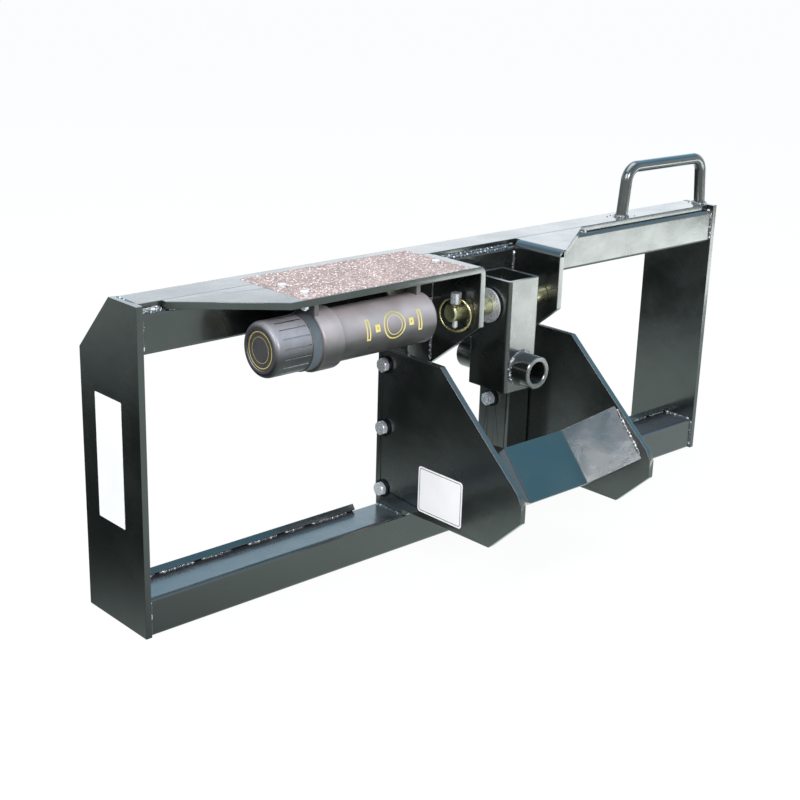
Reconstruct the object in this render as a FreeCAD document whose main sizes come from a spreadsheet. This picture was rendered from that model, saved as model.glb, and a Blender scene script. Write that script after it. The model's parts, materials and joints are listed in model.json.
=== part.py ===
import FreeCAD, Part
import math
import os
import re

import Sketcher
from FreeCAD import Placement, Rotation, Vector

# Auger mounting frame for a skid-steer loader: a welded frame that hangs on the loader's quick
# coupler, a swinging tube that carries the auger motor, and a cradle that holds it for the road.
# Millimetres. +X to the right seen from in front, +Y back towards the loader, +Z up. The sketches
# take y = 0 at the front edge of the end plates; every placement then moves the part so that the
# origin lies at the middle of the foot of its bounding box.

SIZES = [
    # frame
    ("frame_width", 1168, "overall width, across both end plates"),
    ("frame_height", 445, "height of the end plates and of the hook lip's top"),
    ("frame_depth", 138.6, "front to back of the end plates"),
    ("plate", 9.5, "thickness of the frame's flat plate"),
    ("rail_height", 54, "height of the top and bottom rail"),
    ("rail_wall", 4.8, "wall of the rails and uprights"),
    ("rail_corner", 5, "outside corner radius of the rails and uprights"),
    ("inside_corner", 1.5, "inside corner radius of the rails, uprights and swing tube"),
    ("rail_setback", 3, "rail front behind the end plates' front edge"),
    ("rail_tuck", 2.4, "top rail's back behind the corner inside the hook lip's bend"),
    ("bottom_rail_depth", 63.5, "front to back of the bottom rail and the uprights"),
    ("upright_width", 50.8, "width of an upright"),
    # quick coupler
    ("lip_angle", 46.9, "slope of the hook lip below level, degrees"),
    ("lip_drop", 80, "height of the hook lip's slope"),
    ("lip_setback", 12, "front edge of the hook lip behind the end plates' front edge"),
    ("lip_bend", 4, "inside bend radius of the hook lip"),
    ("flange_angle", 35.5, "slope of the latch flanges below level, degrees"),
    ("flange_width", 88, "length of a latch flange down its slope"),
    ("flange_rise", 9, "part of a latch flange's width above the bottom rail's corner"),
    ("flange_inner_reach", 180, "inner end of a latch flange, from the middle"),
    ("latch_spacing", 744, "middle to middle of the two latch slots"),
    ("latch_slot_width", 34, "latch slot, across the frame"),
    ("latch_slot_length", 52, "latch slot, down the slope"),
    ("latch_slot_corner", 8, "corner radius of a latch slot"),
    # step plate and ears
    ("step_reach", 92, "step plate's front edge ahead of the end plates' front edge"),
    ("step_inset", 44, "step plate's left end inside the frame's left side"),
    ("step_front_length", 420, "left end of the step plate's front edge, from the middle"),
    ("ear_gap", 158, "clear width between the two ears"),
    ("ear_bend", 11, "outside bend radius of the ears"),
    ("ear_front_drop", 18, "ear's front foot below the hinge pin"),
    ("ear_rear_drop", 91, "ear's rear foot below the hinge pin"),
    ("bracket_reach", 88, "right bracket's front edge ahead of the end plates' front edge"),
    ("bracket_land", 13, "straight front edge of the right bracket's top"),
    ("bracket_length", 240, "right bracket's far end, from the middle"),
    ("bracket_tip", 2, "width left at the right bracket's far end"),
    ("tape_left", 400, "grip tape's left edge, from the middle"),
    ("tape_right", 105, "grip tape's right edge, from the middle"),
    ("tape_inset", 2, "grip tape's front edge behind the step plate's"),
    ("tape_back", 45, "grip tape's back edge behind the end plates' front edge"),
    ("tape_thickness", 0.9, "grip tape"),
    ("tape_corner", 6, "corner radius of the grip tape"),
    # lifting handle
    ("handle_diameter", 19, "round bar of the handle"),
    ("handle_inset", 10, "middle of the handle's right foot inside the frame's right side"),
    ("handle_span", 212, "middle to middle of the handle's feet"),
    ("handle_height", 89, "top of the handle above the hook lip"),
    ("handle_lean", 6, "inward lean of the handle's legs, degrees"),
    ("handle_bend", 24, "bend radius of the handle at the middle of the bar"),
    ("handle_setback", 30, "middle of the handle behind the end plates' front edge"),
    # hinge pin and its lynch pin
    ("pin_drop", 70, "hinge pin below the frame's top"),
    ("pin_reach", 57, "hinge pin ahead of the end plates' front edge"),
    ("pin_diameter", 25.4, "hinge pin"),
    ("pin_tail", 23.5, "hinge pin beyond the left ear"),
    ("pin_chamfer", 2, "chamfer at the hinge pin's tail"),
    ("pin_head_diameter", 40, "hinge pin's head"),
    ("pin_head_thickness", 8, "hinge pin's head"),
    ("lynch_inset", 11.5, "lynch pin's shank from the hinge pin's tail"),
    ("lynch_diameter", 8, "lynch pin's shank"),
    ("lynch_tip", 10.5, "lynch pin's shank below the hinge pin"),
    ("lynch_head_height", 15, "lynch pin's head"),
    ("lynch_head_width", 13, "lynch pin's head along its ring's pivot"),
    ("lynch_head_depth", 15, "lynch pin's head across its ring's pivot"),
    ("lynch_turn", 20, "lynch pin turned about its shank, degrees"),
    ("ring_diameter", 48, "middle of the lynch ring's wire, across the ring"),
    ("ring_wire", 3.2, "wire of the lynch ring"),
    # swing tube
    ("swing_width", 63.5, "swing tube, across"),
    ("swing_depth", 76.2, "swing tube, front to back"),
    ("swing_wall", 6.4, "wall of the swing tube"),
    ("swing_corner", 6.4, "outside corner radius of the swing tube"),
    ("swing_rise", 40, "swing tube's top above the hinge pin"),
    ("swing_drop", 125, "swing tube's foot below the hinge pin"),
    ("bushing_diameter", 38, "outside of the hinge bushing"),
    ("bushing_proud", 3, "hinge bushing beyond the swing tube on each side"),
    ("washer_diameter", 50, "thrust washer beside the hinge bushing"),
    ("washer_thickness", 3, "thrust washer"),
    ("boss_drop", 91, "auger pivot boss below the hinge pin"),
    ("boss_diameter", 47.6, "outside of the auger pivot boss"),
    ("boss_bore", 32, "bore of the auger pivot boss"),
    ("boss_length", 143, "auger pivot boss, front to back"),
    ("boss_chamfer", 1.2, "chamfer at the boss's rims"),
    # transport cradle
    ("cradle_width", 286, "outer width of the cradle"),
    ("cradle_reach", 240, "cradle's nose ahead of the end plates' front edge"),
    ("cradle_top", 306, "height of the cradle plates"),
    ("cradle_foot", 68, "height of the cradle plates' rear foot"),
    ("cradle_toe", 70, "height of the cradle plates' foot at its front end"),
    ("cradle_heel", 13, "chamfer at the cradle plates' rear foot"),
    ("cradle_back", 55, "cradle plates' back edge behind the end plates' front edge"),
    ("cradle_shoulder", 74, "front end of the cradle plates' top edge"),
    ("cradle_nose_low", 124, "lower corner of the cradle's nose"),
    ("cradle_nose_high", 150, "upper corner of the cradle's nose"),
    ("cradle_brow", 165, "height where the cradle's slope meets its nose"),
    ("cradle_brow_inset", 8, "that corner behind the nose"),
    ("cradle_chin", 183, "front end of the cradle plates' bottom edge"),
    ("trough_front", 184.7, "trough's front edge, upper face, ahead of the end plates"),
    ("trough_front_height", 116.2, "height of the trough's front edge, upper face"),
    ("trough_angle", 49.5, "slope of the trough above level, degrees"),
    ("trough_length", 88.2, "trough up its slope"),
    ("trough_floor", 122, "flat floor of the trough"),
    ("trough_rise", 53, "height of the trough's wings, square to its floor"),
    ("trough_bend", 6, "inside bend radius of the trough's folds"),
    ("trough_plate", 6.4, "thickness of the trough's plate"),
    ("bolt_diameter", 12.7, "cradle bolts"),
    ("bolt_hole", 13.5, "holes for the cradle bolts"),
    ("bolt_setback", 37.5, "cradle bolts behind the end plates' front edge"),
    ("bolt_height", 90, "height of the lowest cradle bolts"),
    ("bolt_pitch", 96.5, "upright spacing of the cradle bolts"),
    ("bolt_head", 19, "cradle bolts' heads and nuts across flats"),
    ("bolt_head_height", 8, "cradle bolts' heads"),
    ("nut_height", 11, "nuts of the cradle bolts"),
    ("bolt_end", 4, "cradle bolts beyond their nuts"),
    ("bolt_washer", 27, "washers of the cradle bolts"),
    ("bolt_washer_thickness", 2.5, "washers of the cradle bolts"),
    # document tube
    ("tube_axis_reach", 45, "document tube ahead of the end plates' front edge"),
    ("tube_axis_drop", 60, "document tube's middle below the step plate"),
    ("tube_diameter", 72, "document tube"),
    ("tube_wall", 3, "wall of the document tube"),
    ("tube_right", 155, "closed end of the document tube, from the middle"),
    ("tube_end_round", 7, "rounding of the tube's closed end"),
    ("collar_diameter", 84, "collar of the document tube"),
    ("collar_inset", 14.7, "collar's left side inside the mouth's rim"),
    ("collar_width", 36, "collar, along the tube"),
    ("collar_round", 3.5, "rounding of the collar"),
    ("band_diameter", 76, "rim of the tube's mouth"),
    ("band_left", 376.7, "left side of the mouth's rim, from the middle"),
    ("neck_diameter", 62, "neck that the cap screws on"),
    ("neck_length", 26, "neck beyond the mouth's rim"),
    ("cap_diameter", 74, "ribbed skirt of the cap"),
    ("cap_length", 57.3, "cap's end beyond the mouth's rim"),
    ("cap_round", 7, "rounding of the cap's end"),
    ("cap_groove", 2, "width of the grooves in the cap's skirt"),
    ("cap_groove_depth", 1.6, "depth of those grooves"),
    ("cap_groove_length", 42, "length of those grooves"),
    ("cap_groove_corner", 0.7, "corner radius of those grooves"),
    ("cap_rim", 2, "plain rim of the cap beside the grooves"),
    ("cap_rib_count", 18, "ribs round the cap"),
    ("cap_recess_diameter", 54, "recessed disc in the cap's end"),
    ("cap_recess_depth", 1.2, "depth of that recess"),
    ("seal_thickness", 2.5, "sealing ring in the cap's root"),
    ("foot_thickness", 5, "flanges that hang the document tube"),
    ("foot_margin", 10, "flange beyond the screws"),
    ("foot_corner", 5, "corner radius of those flanges"),
    ("foot_web", 8, "webs between the flanges and the document tube"),
    ("foot_web_span", 40, "left web of the document tube, front to back"),
    ("foot_web_right", 20, "right web of the document tube, front to back"),
    ("foot_web_corner", 1, "corner radius of the webs"),
    ("screw_diameter", 6, "document tube's screws"),
    ("screw_hole", 6.6, "holes for those screws"),
    ("screw_head", 12, "heads of those screws"),
    ("screw_head_height", 3.4, "heads of those screws"),
    ("screw_nut", 10, "nuts of those screws across flats"),
    ("screw_nut_height", 5, "nuts of those screws"),
    ("screw_end", 2, "those screws beyond their nuts"),
    ("screw_relief", 0.5, "grip tape's holes round those screws' heads, radial"),
    ("screw_offset", 2.3, "left pair of screws beyond the mouth's rim"),
    ("screw_left_front", 66, "front screw of that pair ahead of the end plates"),
    ("screw_left_rear", 20, "rear screw of that pair ahead of the end plates"),
    ("screw_right_inset", 33, "right screw beyond the tube's closed end"),
    ("screw_right_reach", 36, "right screw ahead of the end plates"),
    # fits
    ("running_gap", 0.08, "hinge pin in its bushing, radial"),
    ("pin_gap", 0.3, "hinge pin in the ears, and the lynch pin's fits, radial"),
    ("side_gap", 0.3, "faces that turn or slide beside each other"),
]

doc = FreeCAD.newDocument("auger_mounting_frame")
sheet = doc.addObject("Spreadsheet::Sheet", "Sizes")
for row, (alias, number, note) in enumerate(SIZES, 1):
    sheet.set(f"A{row}", note)
    sheet.set(f"B{row}", str(number))
    sheet.setAlias(f"B{row}", alias)
doc.recompute()

ALIASES = {alias for alias, number, note in SIZES}
ORIGIN, POINT, START, END, CENTRE = -1, 1, 1, 2, 3

# lengths that several parts share, as expressions of the sizes
INNER_HALF = "(frame_width / 2 - plate)"
RAIL_TOP = "(frame_height - plate)"
PIN_HEIGHT = "(frame_height - pin_drop)"
TUBE_AXIS = "(frame_height - plate - tube_axis_drop)"
TAPE_FRONT = "(step_reach - tape_inset)"
HANDLE_LEFT = "(frame_width / 2 - handle_inset - handle_span)"
HANDLE_RIGHT = "(frame_width / 2 - handle_inset)"
LIP_BEND_Y = "(frame_depth - lip_drop / tan(lip_angle))"
LIP_INNER_Y = f"({LIP_BEND_Y} - plate * tan(lip_angle / 2))"
EAR_INNER = "(ear_gap / 2)"
EAR_OUTER = "(ear_gap / 2 + plate)"
CRADLE_INNER = "(cradle_width / 2 - plate)"
UPRIGHT_INNER = "(cradle_width / 2 - plate - upright_width)"
SHIFT_Y = "(cradle_reach - frame_depth) / 2"
LYNCH_X = "(-(ear_gap / 2 + plate + pin_tail) + lynch_inset)"
RING_PIVOT = "(pin_diameter / 2 + side_gap + lynch_head_height / 2)"
# the ring curves as it crosses the head, so its bore clears the wire and that curve
RING_BORE = ("ring_wire + 2 * pin_gap + ring_diameter"
             " - sqrt(ring_diameter * ring_diameter - lynch_head_width * lynch_head_width)")
HANDLE_END = "(frame_height - handle_diameter / 4)"
HANDLE_TOP = "(frame_height + handle_height - handle_diameter / 2)"
LEG_RISE = f"({HANDLE_TOP} - {HANDLE_END} - handle_bend * (1 - sin(handle_lean)))"
HEAD_SEAT = "(cradle_width / 2 + bolt_washer_thickness)"
NUT_SEAT = f"({UPRIGHT_INNER} - bolt_washer_thickness)"
COLLAR_LEFT = "(band_left - collar_inset)"
COLLAR_RIGHT = "(band_left - collar_inset - collar_width)"
CAP_LEFT = "(band_left + cap_length)"
SCREW_LEFT = "(band_left + screw_offset)"
SCREW_RIGHT = "(tube_right - screw_right_inset)"
# the document tube's screws, as places on the step plate
SCREWS = [(f"-{SCREW_LEFT}", "-screw_left_front"), (f"-{SCREW_LEFT}", "-screw_left_rear"),
          (f"-{SCREW_RIGHT}", "-screw_right_reach")]

parts = []


def expression(text):
    """The text with each size's name turned into a reference to the sheet."""
    return re.sub(r"[a-z_]\w*", lambda word: add_sheet(word.group()), text)


def add_sheet(word):
    return "Sizes." + word if word in ALIASES else word


def value(text):
    return float(sheet.evalExpression(expression(text)))


def bind(thing, path, text):
    thing.setExpression(path, expression(text))


# ---------------------------------------------------------------- sketches and features

def new_body(name, across="0", up="0", axis=None, angle=None, along="0"):
    """A body whose own frame sits at (along, across, up), turned by angle about axis."""
    body = doc.addObject("PartDesign::Body", name)
    body.Label = name
    if axis is not None:
        body.Placement = Placement(Vector(), Rotation(axis, value(angle)))
        bind(body, "Placement.Rotation.Angle", angle)
    bind(body, "Placement.Base.x", along)
    bind(body, "Placement.Base.y", f"{across} + {SHIFT_Y}")
    bind(body, "Placement.Base.z", up)
    parts.append(body)
    return body


def new_sketch(body, role, height="0"):
    """A sketch on one of the body's origin planes, lifted along that plane's normal."""
    sketch = body.newObject("Sketcher::SketchObject", f"{body.Name}_sketch")
    plane = [item for item in body.Origin.OriginFeatures if item.Role == role][0]
    sketch.AttachmentSupport = [(plane, "")]
    sketch.MapMode = "FlatFace"
    bind(sketch, "AttachmentOffset.Base.z", height)
    return sketch


def bind_distance(sketch, kind, place, text):
    """Hold a point's sketch coordinate at an expression."""
    item, point = place
    number = sketch.addConstraint(Sketcher.Constraint(kind, ORIGIN, POINT, item, point, value(text)))
    sketch.setDatum(number, FreeCAD.Units.Quantity(value(text), "mm"))
    bind(sketch, f"Constraints[{number}]", text)


def bind_datum(sketch, kind, item, text):
    number = sketch.addConstraint(Sketcher.Constraint(kind, item, value(text)))
    bind(sketch, f"Constraints[{number}]", text)


def add_polygon(sketch, corners):
    """Straight sides through the corners, each a pair of expressions."""
    points = [Vector(value(a), value(b), 0) for a, b in corners]
    count = len(points)
    first = sketch.GeometryCount
    for index in range(count):
        sketch.addGeometry(Part.LineSegment(points[index], points[(index + 1) % count]), False)
    for index in range(count):
        here, following = first + index, first + (index + 1) % count
        sketch.addConstraint(Sketcher.Constraint("Coincident", here, END, following, START))
    for index, (a, b) in enumerate(corners):
        bind_distance(sketch, "DistanceX", (first + index, START), a)
        bind_distance(sketch, "DistanceY", (first + index, START), b)


def add_circle(sketch, centre, diameter):
    item = sketch.addGeometry(Part.Circle(Vector(value(centre[0]), value(centre[1]), 0),
                                          Vector(0, 0, 1), value(diameter) / 2), False)
    bind_distance(sketch, "DistanceX", (item, CENTRE), centre[0])
    bind_distance(sketch, "DistanceY", (item, CENTRE), centre[1])
    bind_datum(sketch, "Diameter", item, diameter)


def add_rounded_box(sketch, low, high, radius):
    """A rectangle from low to high, pairs of expressions, with its corners rounded."""
    left, foot, right, top = value(low[0]), value(low[1]), value(high[0]), value(high[1])
    bend = value(radius)
    centres = [(right - bend, foot + bend), (right - bend, top - bend),
               (left + bend, top - bend), (left + bend, foot + bend)]
    sides = [((left + bend, foot), (right - bend, foot)), ((right, foot + bend), (right, top - bend)),
             ((right - bend, top), (left + bend, top)), ((left, top - bend), (left, foot + bend))]
    first = sketch.GeometryCount
    for index in range(4):
        ends = [Vector(x, y, 0) for x, y in sides[index]]
        sketch.addGeometry(Part.LineSegment(*ends), False)
        circle = Part.Circle(Vector(*centres[index], 0), Vector(0, 0, 1), bend)
        turn = math.pi / 2 * (index - 1)
        sketch.addGeometry(Part.ArcOfCircle(circle, turn, turn + math.pi / 2), False)
    for index in range(4):
        side, arc = first + 2 * index, first + 2 * index + 1
        following = first + (2 * index + 2) % 8
        sketch.addConstraint(Sketcher.Constraint("Tangent", side, END, arc, START))
        sketch.addConstraint(Sketcher.Constraint("Tangent", arc, END, following, START))
        sketch.addConstraint(Sketcher.Constraint("Vertical" if index % 2 else "Horizontal", side))
    for index in range(1, 4):
        sketch.addConstraint(Sketcher.Constraint("Equal", first + 1, first + 2 * index + 1))
    bind_datum(sketch, "Radius", first + 1, radius)
    bind_distance(sketch, "DistanceY", (first, START), low[1])
    bind_distance(sketch, "DistanceX", (first + 2, START), high[0])
    bind_distance(sketch, "DistanceY", (first + 4, START), high[1])
    bind_distance(sketch, "DistanceX", (first + 6, START), low[0])


def new_feature(body, kind, sketch):
    feature = body.newObject(f"PartDesign::{kind}", f"{body.Name}_{kind.lower()}")
    feature.Profile = sketch
    return feature


def pad(body, sketch, length, backwards=False):
    feature = new_feature(body, "Pad", sketch)
    feature.Reversed = backwards
    bind(feature, "Length", length)
    return feature


def revolve(body, sketch, axis="H_Axis"):
    feature = new_feature(body, "Revolution", sketch)
    feature.ReferenceAxis = (sketch, [axis])
    return feature


def cut_through(body, sketch):
    """A pocket through everything on both sides of its sketch."""
    feature = new_feature(body, "Pocket", sketch)
    feature.Type = "ThroughAll"
    feature.Midplane = True
    return feature


def round_edges(body, base, places, radius):
    """Fillet the edges of base that pass through the places, triples of expressions."""
    doc.recompute()
    points = [Part.Vertex(*[value(text) for text in place]) for place in places]
    names = [f"Edge{number}" for number, edge in enumerate(base.Shape.Edges, 1)
             if any(edge.distToShape(point)[0] < 0.001 for point in points)]
    if len(names) != len(places):
        raise ValueError(f"{body.Name}: {len(names)} edges found to round, not {len(places)}")
    feature = body.newObject("PartDesign::Fillet", f"{body.Name}_fillet")
    feature.Base = (base, names)
    bind(feature, "Radius", radius)
    return feature


def hexagon(centre, across_flats):
    """Corners of a hexagon with two level flats."""
    y, z = centre
    corners = []
    for index in range(6):
        turn = 60 * index
        reach = f"({across_flats} / 2 / cos(30))"
        corners.append((f"{y} + {reach} * cos({turn})", f"{z} + {reach} * sin({turn})"))
    return corners


# ---------------------------------------------------------------- frame

def make_end_plate(name, start):
    body = new_body(name)
    sketch = new_sketch(body, "YZ_Plane", start)
    add_polygon(sketch, [("0", "0"), ("frame_depth", "0"), ("frame_depth", "frame_height - lip_drop"),
                         (LIP_BEND_Y, "frame_height"), ("0", "frame_height")])
    pad(body, sketch, "plate")


def make_rail(name, depth, foot):
    """Tube with rounded corners between the end plates."""
    body = new_body(name)
    sketch = new_sketch(body, "YZ_Plane", f"-{INNER_HALF}")
    back, top = f"rail_setback + {depth}", f"{foot} + rail_height"
    add_rounded_box(sketch, ("rail_setback", foot), (back, top), "rail_corner")
    add_rounded_box(sketch, ("rail_setback + rail_wall", f"{foot} + rail_wall"),
                    (f"{back} - rail_wall", f"{top} - rail_wall"), "inside_corner")
    pad(body, sketch, f"2 * {INNER_HALF}")


def make_upright(name, left):
    """Tube between the rails, drilled across for the cradle bolts."""
    body = new_body(name)
    sketch = new_sketch(body, "XY_Plane", "rail_height")
    right, back = f"{left} + upright_width", "rail_setback + bottom_rail_depth"
    add_rounded_box(sketch, (left, "rail_setback"), (right, back), "rail_corner")
    add_rounded_box(sketch, (f"{left} + rail_wall", "rail_setback + rail_wall"),
                    (f"{right} - rail_wall", f"{back} - rail_wall"), "inside_corner")
    pad(body, sketch, f"{RAIL_TOP} - 2 * rail_height")
    holes = new_sketch(body, "YZ_Plane")
    for index in range(3):
        add_circle(holes, ("bolt_setback", f"bolt_height + {index} * bolt_pitch"), "bolt_hole")
    cut_through(body, holes)


def make_hook_lip():
    """Plate along the top rail, bent down at the back to hang on the loader's coupler."""
    body = new_body("hook_lip")
    sketch = new_sketch(body, "YZ_Plane", f"-{INNER_HALF}")
    add_polygon(sketch, [
        ("lip_setback", RAIL_TOP), (LIP_INNER_Y, RAIL_TOP),
        ("frame_depth - plate * sin(lip_angle)",
         "frame_height - lip_drop - plate * cos(lip_angle)"),
        ("frame_depth", "frame_height - lip_drop"), (LIP_BEND_Y, "frame_height"),
        ("lip_setback", "frame_height")])
    blank = pad(body, sketch, f"2 * {INNER_HALF}")
    inside = round_edges(body, blank, [("0", LIP_INNER_Y, RAIL_TOP)], "lip_bend")
    round_edges(body, inside, [("0", LIP_BEND_Y, "frame_height")], "lip_bend + plate")


def make_latch_flange(name, left, slot_x):
    """Sloping plate on the bottom rail's back corner, slotted for the coupler's wedge."""
    seat_y = "(rail_setback + bottom_rail_depth - rail_corner + rail_corner * sin(flange_angle))"
    seat_z = "(rail_height - rail_corner + rail_corner * cos(flange_angle))"
    body = new_body(name, across=seat_y, up=seat_z, axis=Vector(-1, 0, 0), angle="flange_angle")
    sketch = new_sketch(body, "XY_Plane")
    middle = "(flange_width / 2 - flange_rise)"
    right = f"{left} + {INNER_HALF} - flange_inner_reach"
    add_polygon(sketch, [(left, "-flange_rise"), (right, "-flange_rise"),
                         (right, "flange_width - flange_rise"),
                         (left, "flange_width - flange_rise")])
    add_rounded_box(sketch,
                    (f"{slot_x} - latch_slot_width / 2", f"{middle} - latch_slot_length / 2"),
                    (f"{slot_x} + latch_slot_width / 2", f"{middle} + latch_slot_length / 2"),
                    "latch_slot_corner")
    pad(body, sketch, "plate")


def add_ear(body, start, reach):
    """Ear that carries the hinge pin, square to the top plate that it is bent from."""
    ear = new_sketch(body, "YZ_Plane", start)
    add_polygon(ear, [
        (f"-{reach}", f"{PIN_HEIGHT} - ear_front_drop"),
        ("rail_setback", f"{PIN_HEIGHT} - ear_rear_drop"),
        ("rail_setback", "frame_height"), (f"-{reach}", "frame_height")])
    add_circle(ear, ("-pin_reach", PIN_HEIGHT), "pin_diameter + 2 * pin_gap")
    return pad(body, ear, "plate")


def round_bend(body, blank, side):
    """Round the bend between the top plate and its ear, outside and inside."""
    outside = round_edges(body, blank, [(side + EAR_INNER, "-pin_reach", "frame_height")], "ear_bend")
    round_edges(body, outside, [(side + EAR_OUTER, "-pin_reach", RAIL_TOP)], "ear_bend - plate")


def make_step_plate():
    """Top plate with its right end bent down as the left ear."""
    body = new_body("step_plate")
    top = new_sketch(body, "XY_Plane", RAIL_TOP)
    bend_line = f"-({EAR_INNER} + ear_bend)"
    left = "-(frame_width / 2 - step_inset)"
    add_polygon(top, [(left, "lip_setback"), (left, "rail_setback"),
                      ("-step_front_length", "-step_reach"), (f"-{EAR_INNER}", "-step_reach"),
                      (f"-{EAR_INNER}", "rail_setback"), (bend_line, "rail_setback"),
                      (bend_line, "lip_setback")])
    for x, y in SCREWS:
        add_circle(top, (x, y), "screw_hole")
    pad(body, top, "plate")
    blank = add_ear(body, f"-{EAR_OUTER}", "step_reach")
    round_bend(body, blank, "-")


def make_right_bracket():
    """Angle plate: the right ear, and the top that ties it to the rail."""
    body = new_body("right_ear_bracket")
    top = new_sketch(body, "XY_Plane", RAIL_TOP)
    bend_line = f"({EAR_INNER} + ear_bend)"
    add_polygon(top, [(EAR_INNER, "-bracket_reach"),
                      (f"{EAR_INNER} + bracket_land", "-bracket_reach"),
                      ("bracket_length", "lip_setback - bracket_tip"),
                      ("bracket_length", "lip_setback"),
                      (bend_line, "lip_setback"), (bend_line, "rail_setback"),
                      (EAR_INNER, "rail_setback")])
    pad(body, top, "plate")
    blank = add_ear(body, EAR_INNER, "bracket_reach")
    round_bend(body, blank, "")


def make_grip_tape():
    body = new_body("grip_tape")
    sketch = new_sketch(body, "XY_Plane", "frame_height")
    add_rounded_box(sketch, ("-tape_left", f"-{TAPE_FRONT}"), ("-tape_right", "tape_back"),
                    "tape_corner")
    pad(body, sketch, "tape_thickness")
    holes = new_sketch(body, "XY_Plane", "frame_height")
    for x, y in SCREWS:
        add_circle(holes, (x, y), "screw_head + 2 * screw_relief")
    cut_through(body, holes)


def make_handle():
    """Round bar bent twice, its legs leaning in, cut level where they stand on the hook lip."""
    body = new_body("lift_handle", across="handle_setback")
    path = new_sketch(body, "XZ_Plane")
    lean, bend = math.radians(value("handle_lean")), value("handle_bend")
    foot, top = value(HANDLE_END), value(HANDLE_TOP)
    reach = bend * math.tan((math.pi / 2 - lean) / 2)
    legs = []
    for side, x in ((1, value(HANDLE_LEFT)), (-1, value(HANDLE_RIGHT))):
        corner = Vector(x + side * (top - foot) * math.tan(lean), top, 0)
        down = Vector(-side * math.sin(lean), -math.cos(lean), 0)
        legs.append((Vector(x, foot, 0), corner + down * reach,
                     corner + Vector(side * reach, 0, 0), corner + Vector(side * reach, -bend, 0)))
    (foot_l, leg_l, top_l, mid_l), (foot_r, leg_r, top_r, mid_r) = legs
    flat = Vector(0, 0, 1)
    for item in (Part.LineSegment(foot_l, leg_l),
                 Part.ArcOfCircle(Part.Circle(mid_l, flat, bend), math.pi / 2, math.pi - lean),
                 Part.LineSegment(top_l, top_r),
                 Part.ArcOfCircle(Part.Circle(mid_r, flat, bend), lean, math.pi / 2),
                 Part.LineSegment(leg_r, foot_r)):
        path.addGeometry(item, False)
    for joint in ((0, END, 1, END), (1, START, 2, START), (2, END, 3, END), (3, START, 4, START)):
        path.addConstraint(Sketcher.Constraint("Tangent", *joint))
    path.addConstraint(Sketcher.Constraint("Horizontal", 2))
    path.addConstraint(Sketcher.Constraint("Equal", 1, 3))
    bind_datum(path, "Radius", 1, "handle_bend")
    bind_distance(path, "DistanceX", (0, START), HANDLE_LEFT)
    bind_distance(path, "DistanceY", (0, START), HANDLE_END)
    bind_distance(path, "DistanceX", (4, END), HANDLE_RIGHT)
    bind_distance(path, "DistanceY", (4, END), HANDLE_END)
    bind_distance(path, "DistanceY", (2, START), HANDLE_TOP)
    bind_distance(path, "DistanceX", (0, END), f"{HANDLE_LEFT} + {LEG_RISE} * tan(handle_lean)")
    bind_distance(path, "DistanceX", (4, START), f"{HANDLE_RIGHT} - {LEG_RISE} * tan(handle_lean)")
    section = new_sketch(body, "XY_Plane", HANDLE_END)
    add_circle(section, (HANDLE_LEFT, "0"), "handle_diameter")
    doc.recompute()
    bar = new_feature(body, "AdditivePipe", section)
    bar.Spine = (path, [])
    waste = new_sketch(body, "XY_Plane", "frame_height")
    near, far = f"{HANDLE_LEFT} - handle_diameter", f"{HANDLE_RIGHT} + handle_diameter"
    add_polygon(waste, [(near, "-handle_diameter"), (far, "-handle_diameter"),
                        (far, "handle_diameter"), (near, "handle_diameter")])
    trim = new_feature(body, "Pocket", waste)
    trim.Type = "ThroughAll"


# ---------------------------------------------------------------- hinge pin

def make_hinge_pin():
    """Turned pin with a head beyond the right ear and a cross hole in its tail."""
    body = new_body("hinge_pin", across="-pin_reach", up=PIN_HEIGHT)
    profile = new_sketch(body, "XY_Plane")
    tail, head = f"-({EAR_OUTER} + pin_tail)", f"{EAR_OUTER} + side_gap"
    add_polygon(profile, [
        (tail, "0"), (tail, "pin_diameter / 2 - pin_chamfer"),
        (f"{tail} + pin_chamfer", "pin_diameter / 2"), (head, "pin_diameter / 2"),
        (head, "pin_head_diameter / 2"),
        (f"{head} + pin_head_thickness - pin_chamfer", "pin_head_diameter / 2"),
        (f"{head} + pin_head_thickness", "pin_head_diameter / 2 - pin_chamfer"),
        (f"{head} + pin_head_thickness", "0")])
    revolve(body, profile)
    hole = new_sketch(body, "XY_Plane")
    add_circle(hole, (LYNCH_X, "0"), "lynch_diameter + 2 * pin_gap")
    cut_through(body, hole)


def make_lynch_pin():
    """Shank through the hinge pin's tail, with a head that the ring turns in."""
    body = new_body("lynch_pin", along=LYNCH_X, across="-pin_reach", up=PIN_HEIGHT,
                    axis=Vector(0, 0, 1), angle="lynch_turn")
    shank = new_sketch(body, "XY_Plane", "-(pin_diameter / 2 + lynch_tip)")
    add_circle(shank, ("0", "0"), "lynch_diameter")
    stem = pad(body, shank, "pin_diameter + side_gap + lynch_tip")
    doc.recompute()
    tip = [f"Edge{number}" for number, edge in enumerate(stem.Shape.Edges, 1)
           if edge.BoundBox.ZMax < stem.Shape.BoundBox.ZMin + 0.001]
    taper = body.newObject("PartDesign::Chamfer", "lynch_pin_taper")
    taper.Base = (stem, tip)
    bind(taper, "Size", "lynch_diameter / 4")
    head = new_sketch(body, "XY_Plane", "pin_diameter / 2 + side_gap")
    add_rounded_box(head, ("-lynch_head_depth / 2", "-lynch_head_width / 2"),
                    ("lynch_head_depth / 2", "lynch_head_width / 2"), "lynch_head_width / 3")
    pad(body, head, "lynch_head_height")
    bore = new_sketch(body, "XZ_Plane")
    add_circle(bore, ("0", RING_PIVOT), RING_BORE)
    cut_through(body, bore)


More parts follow.
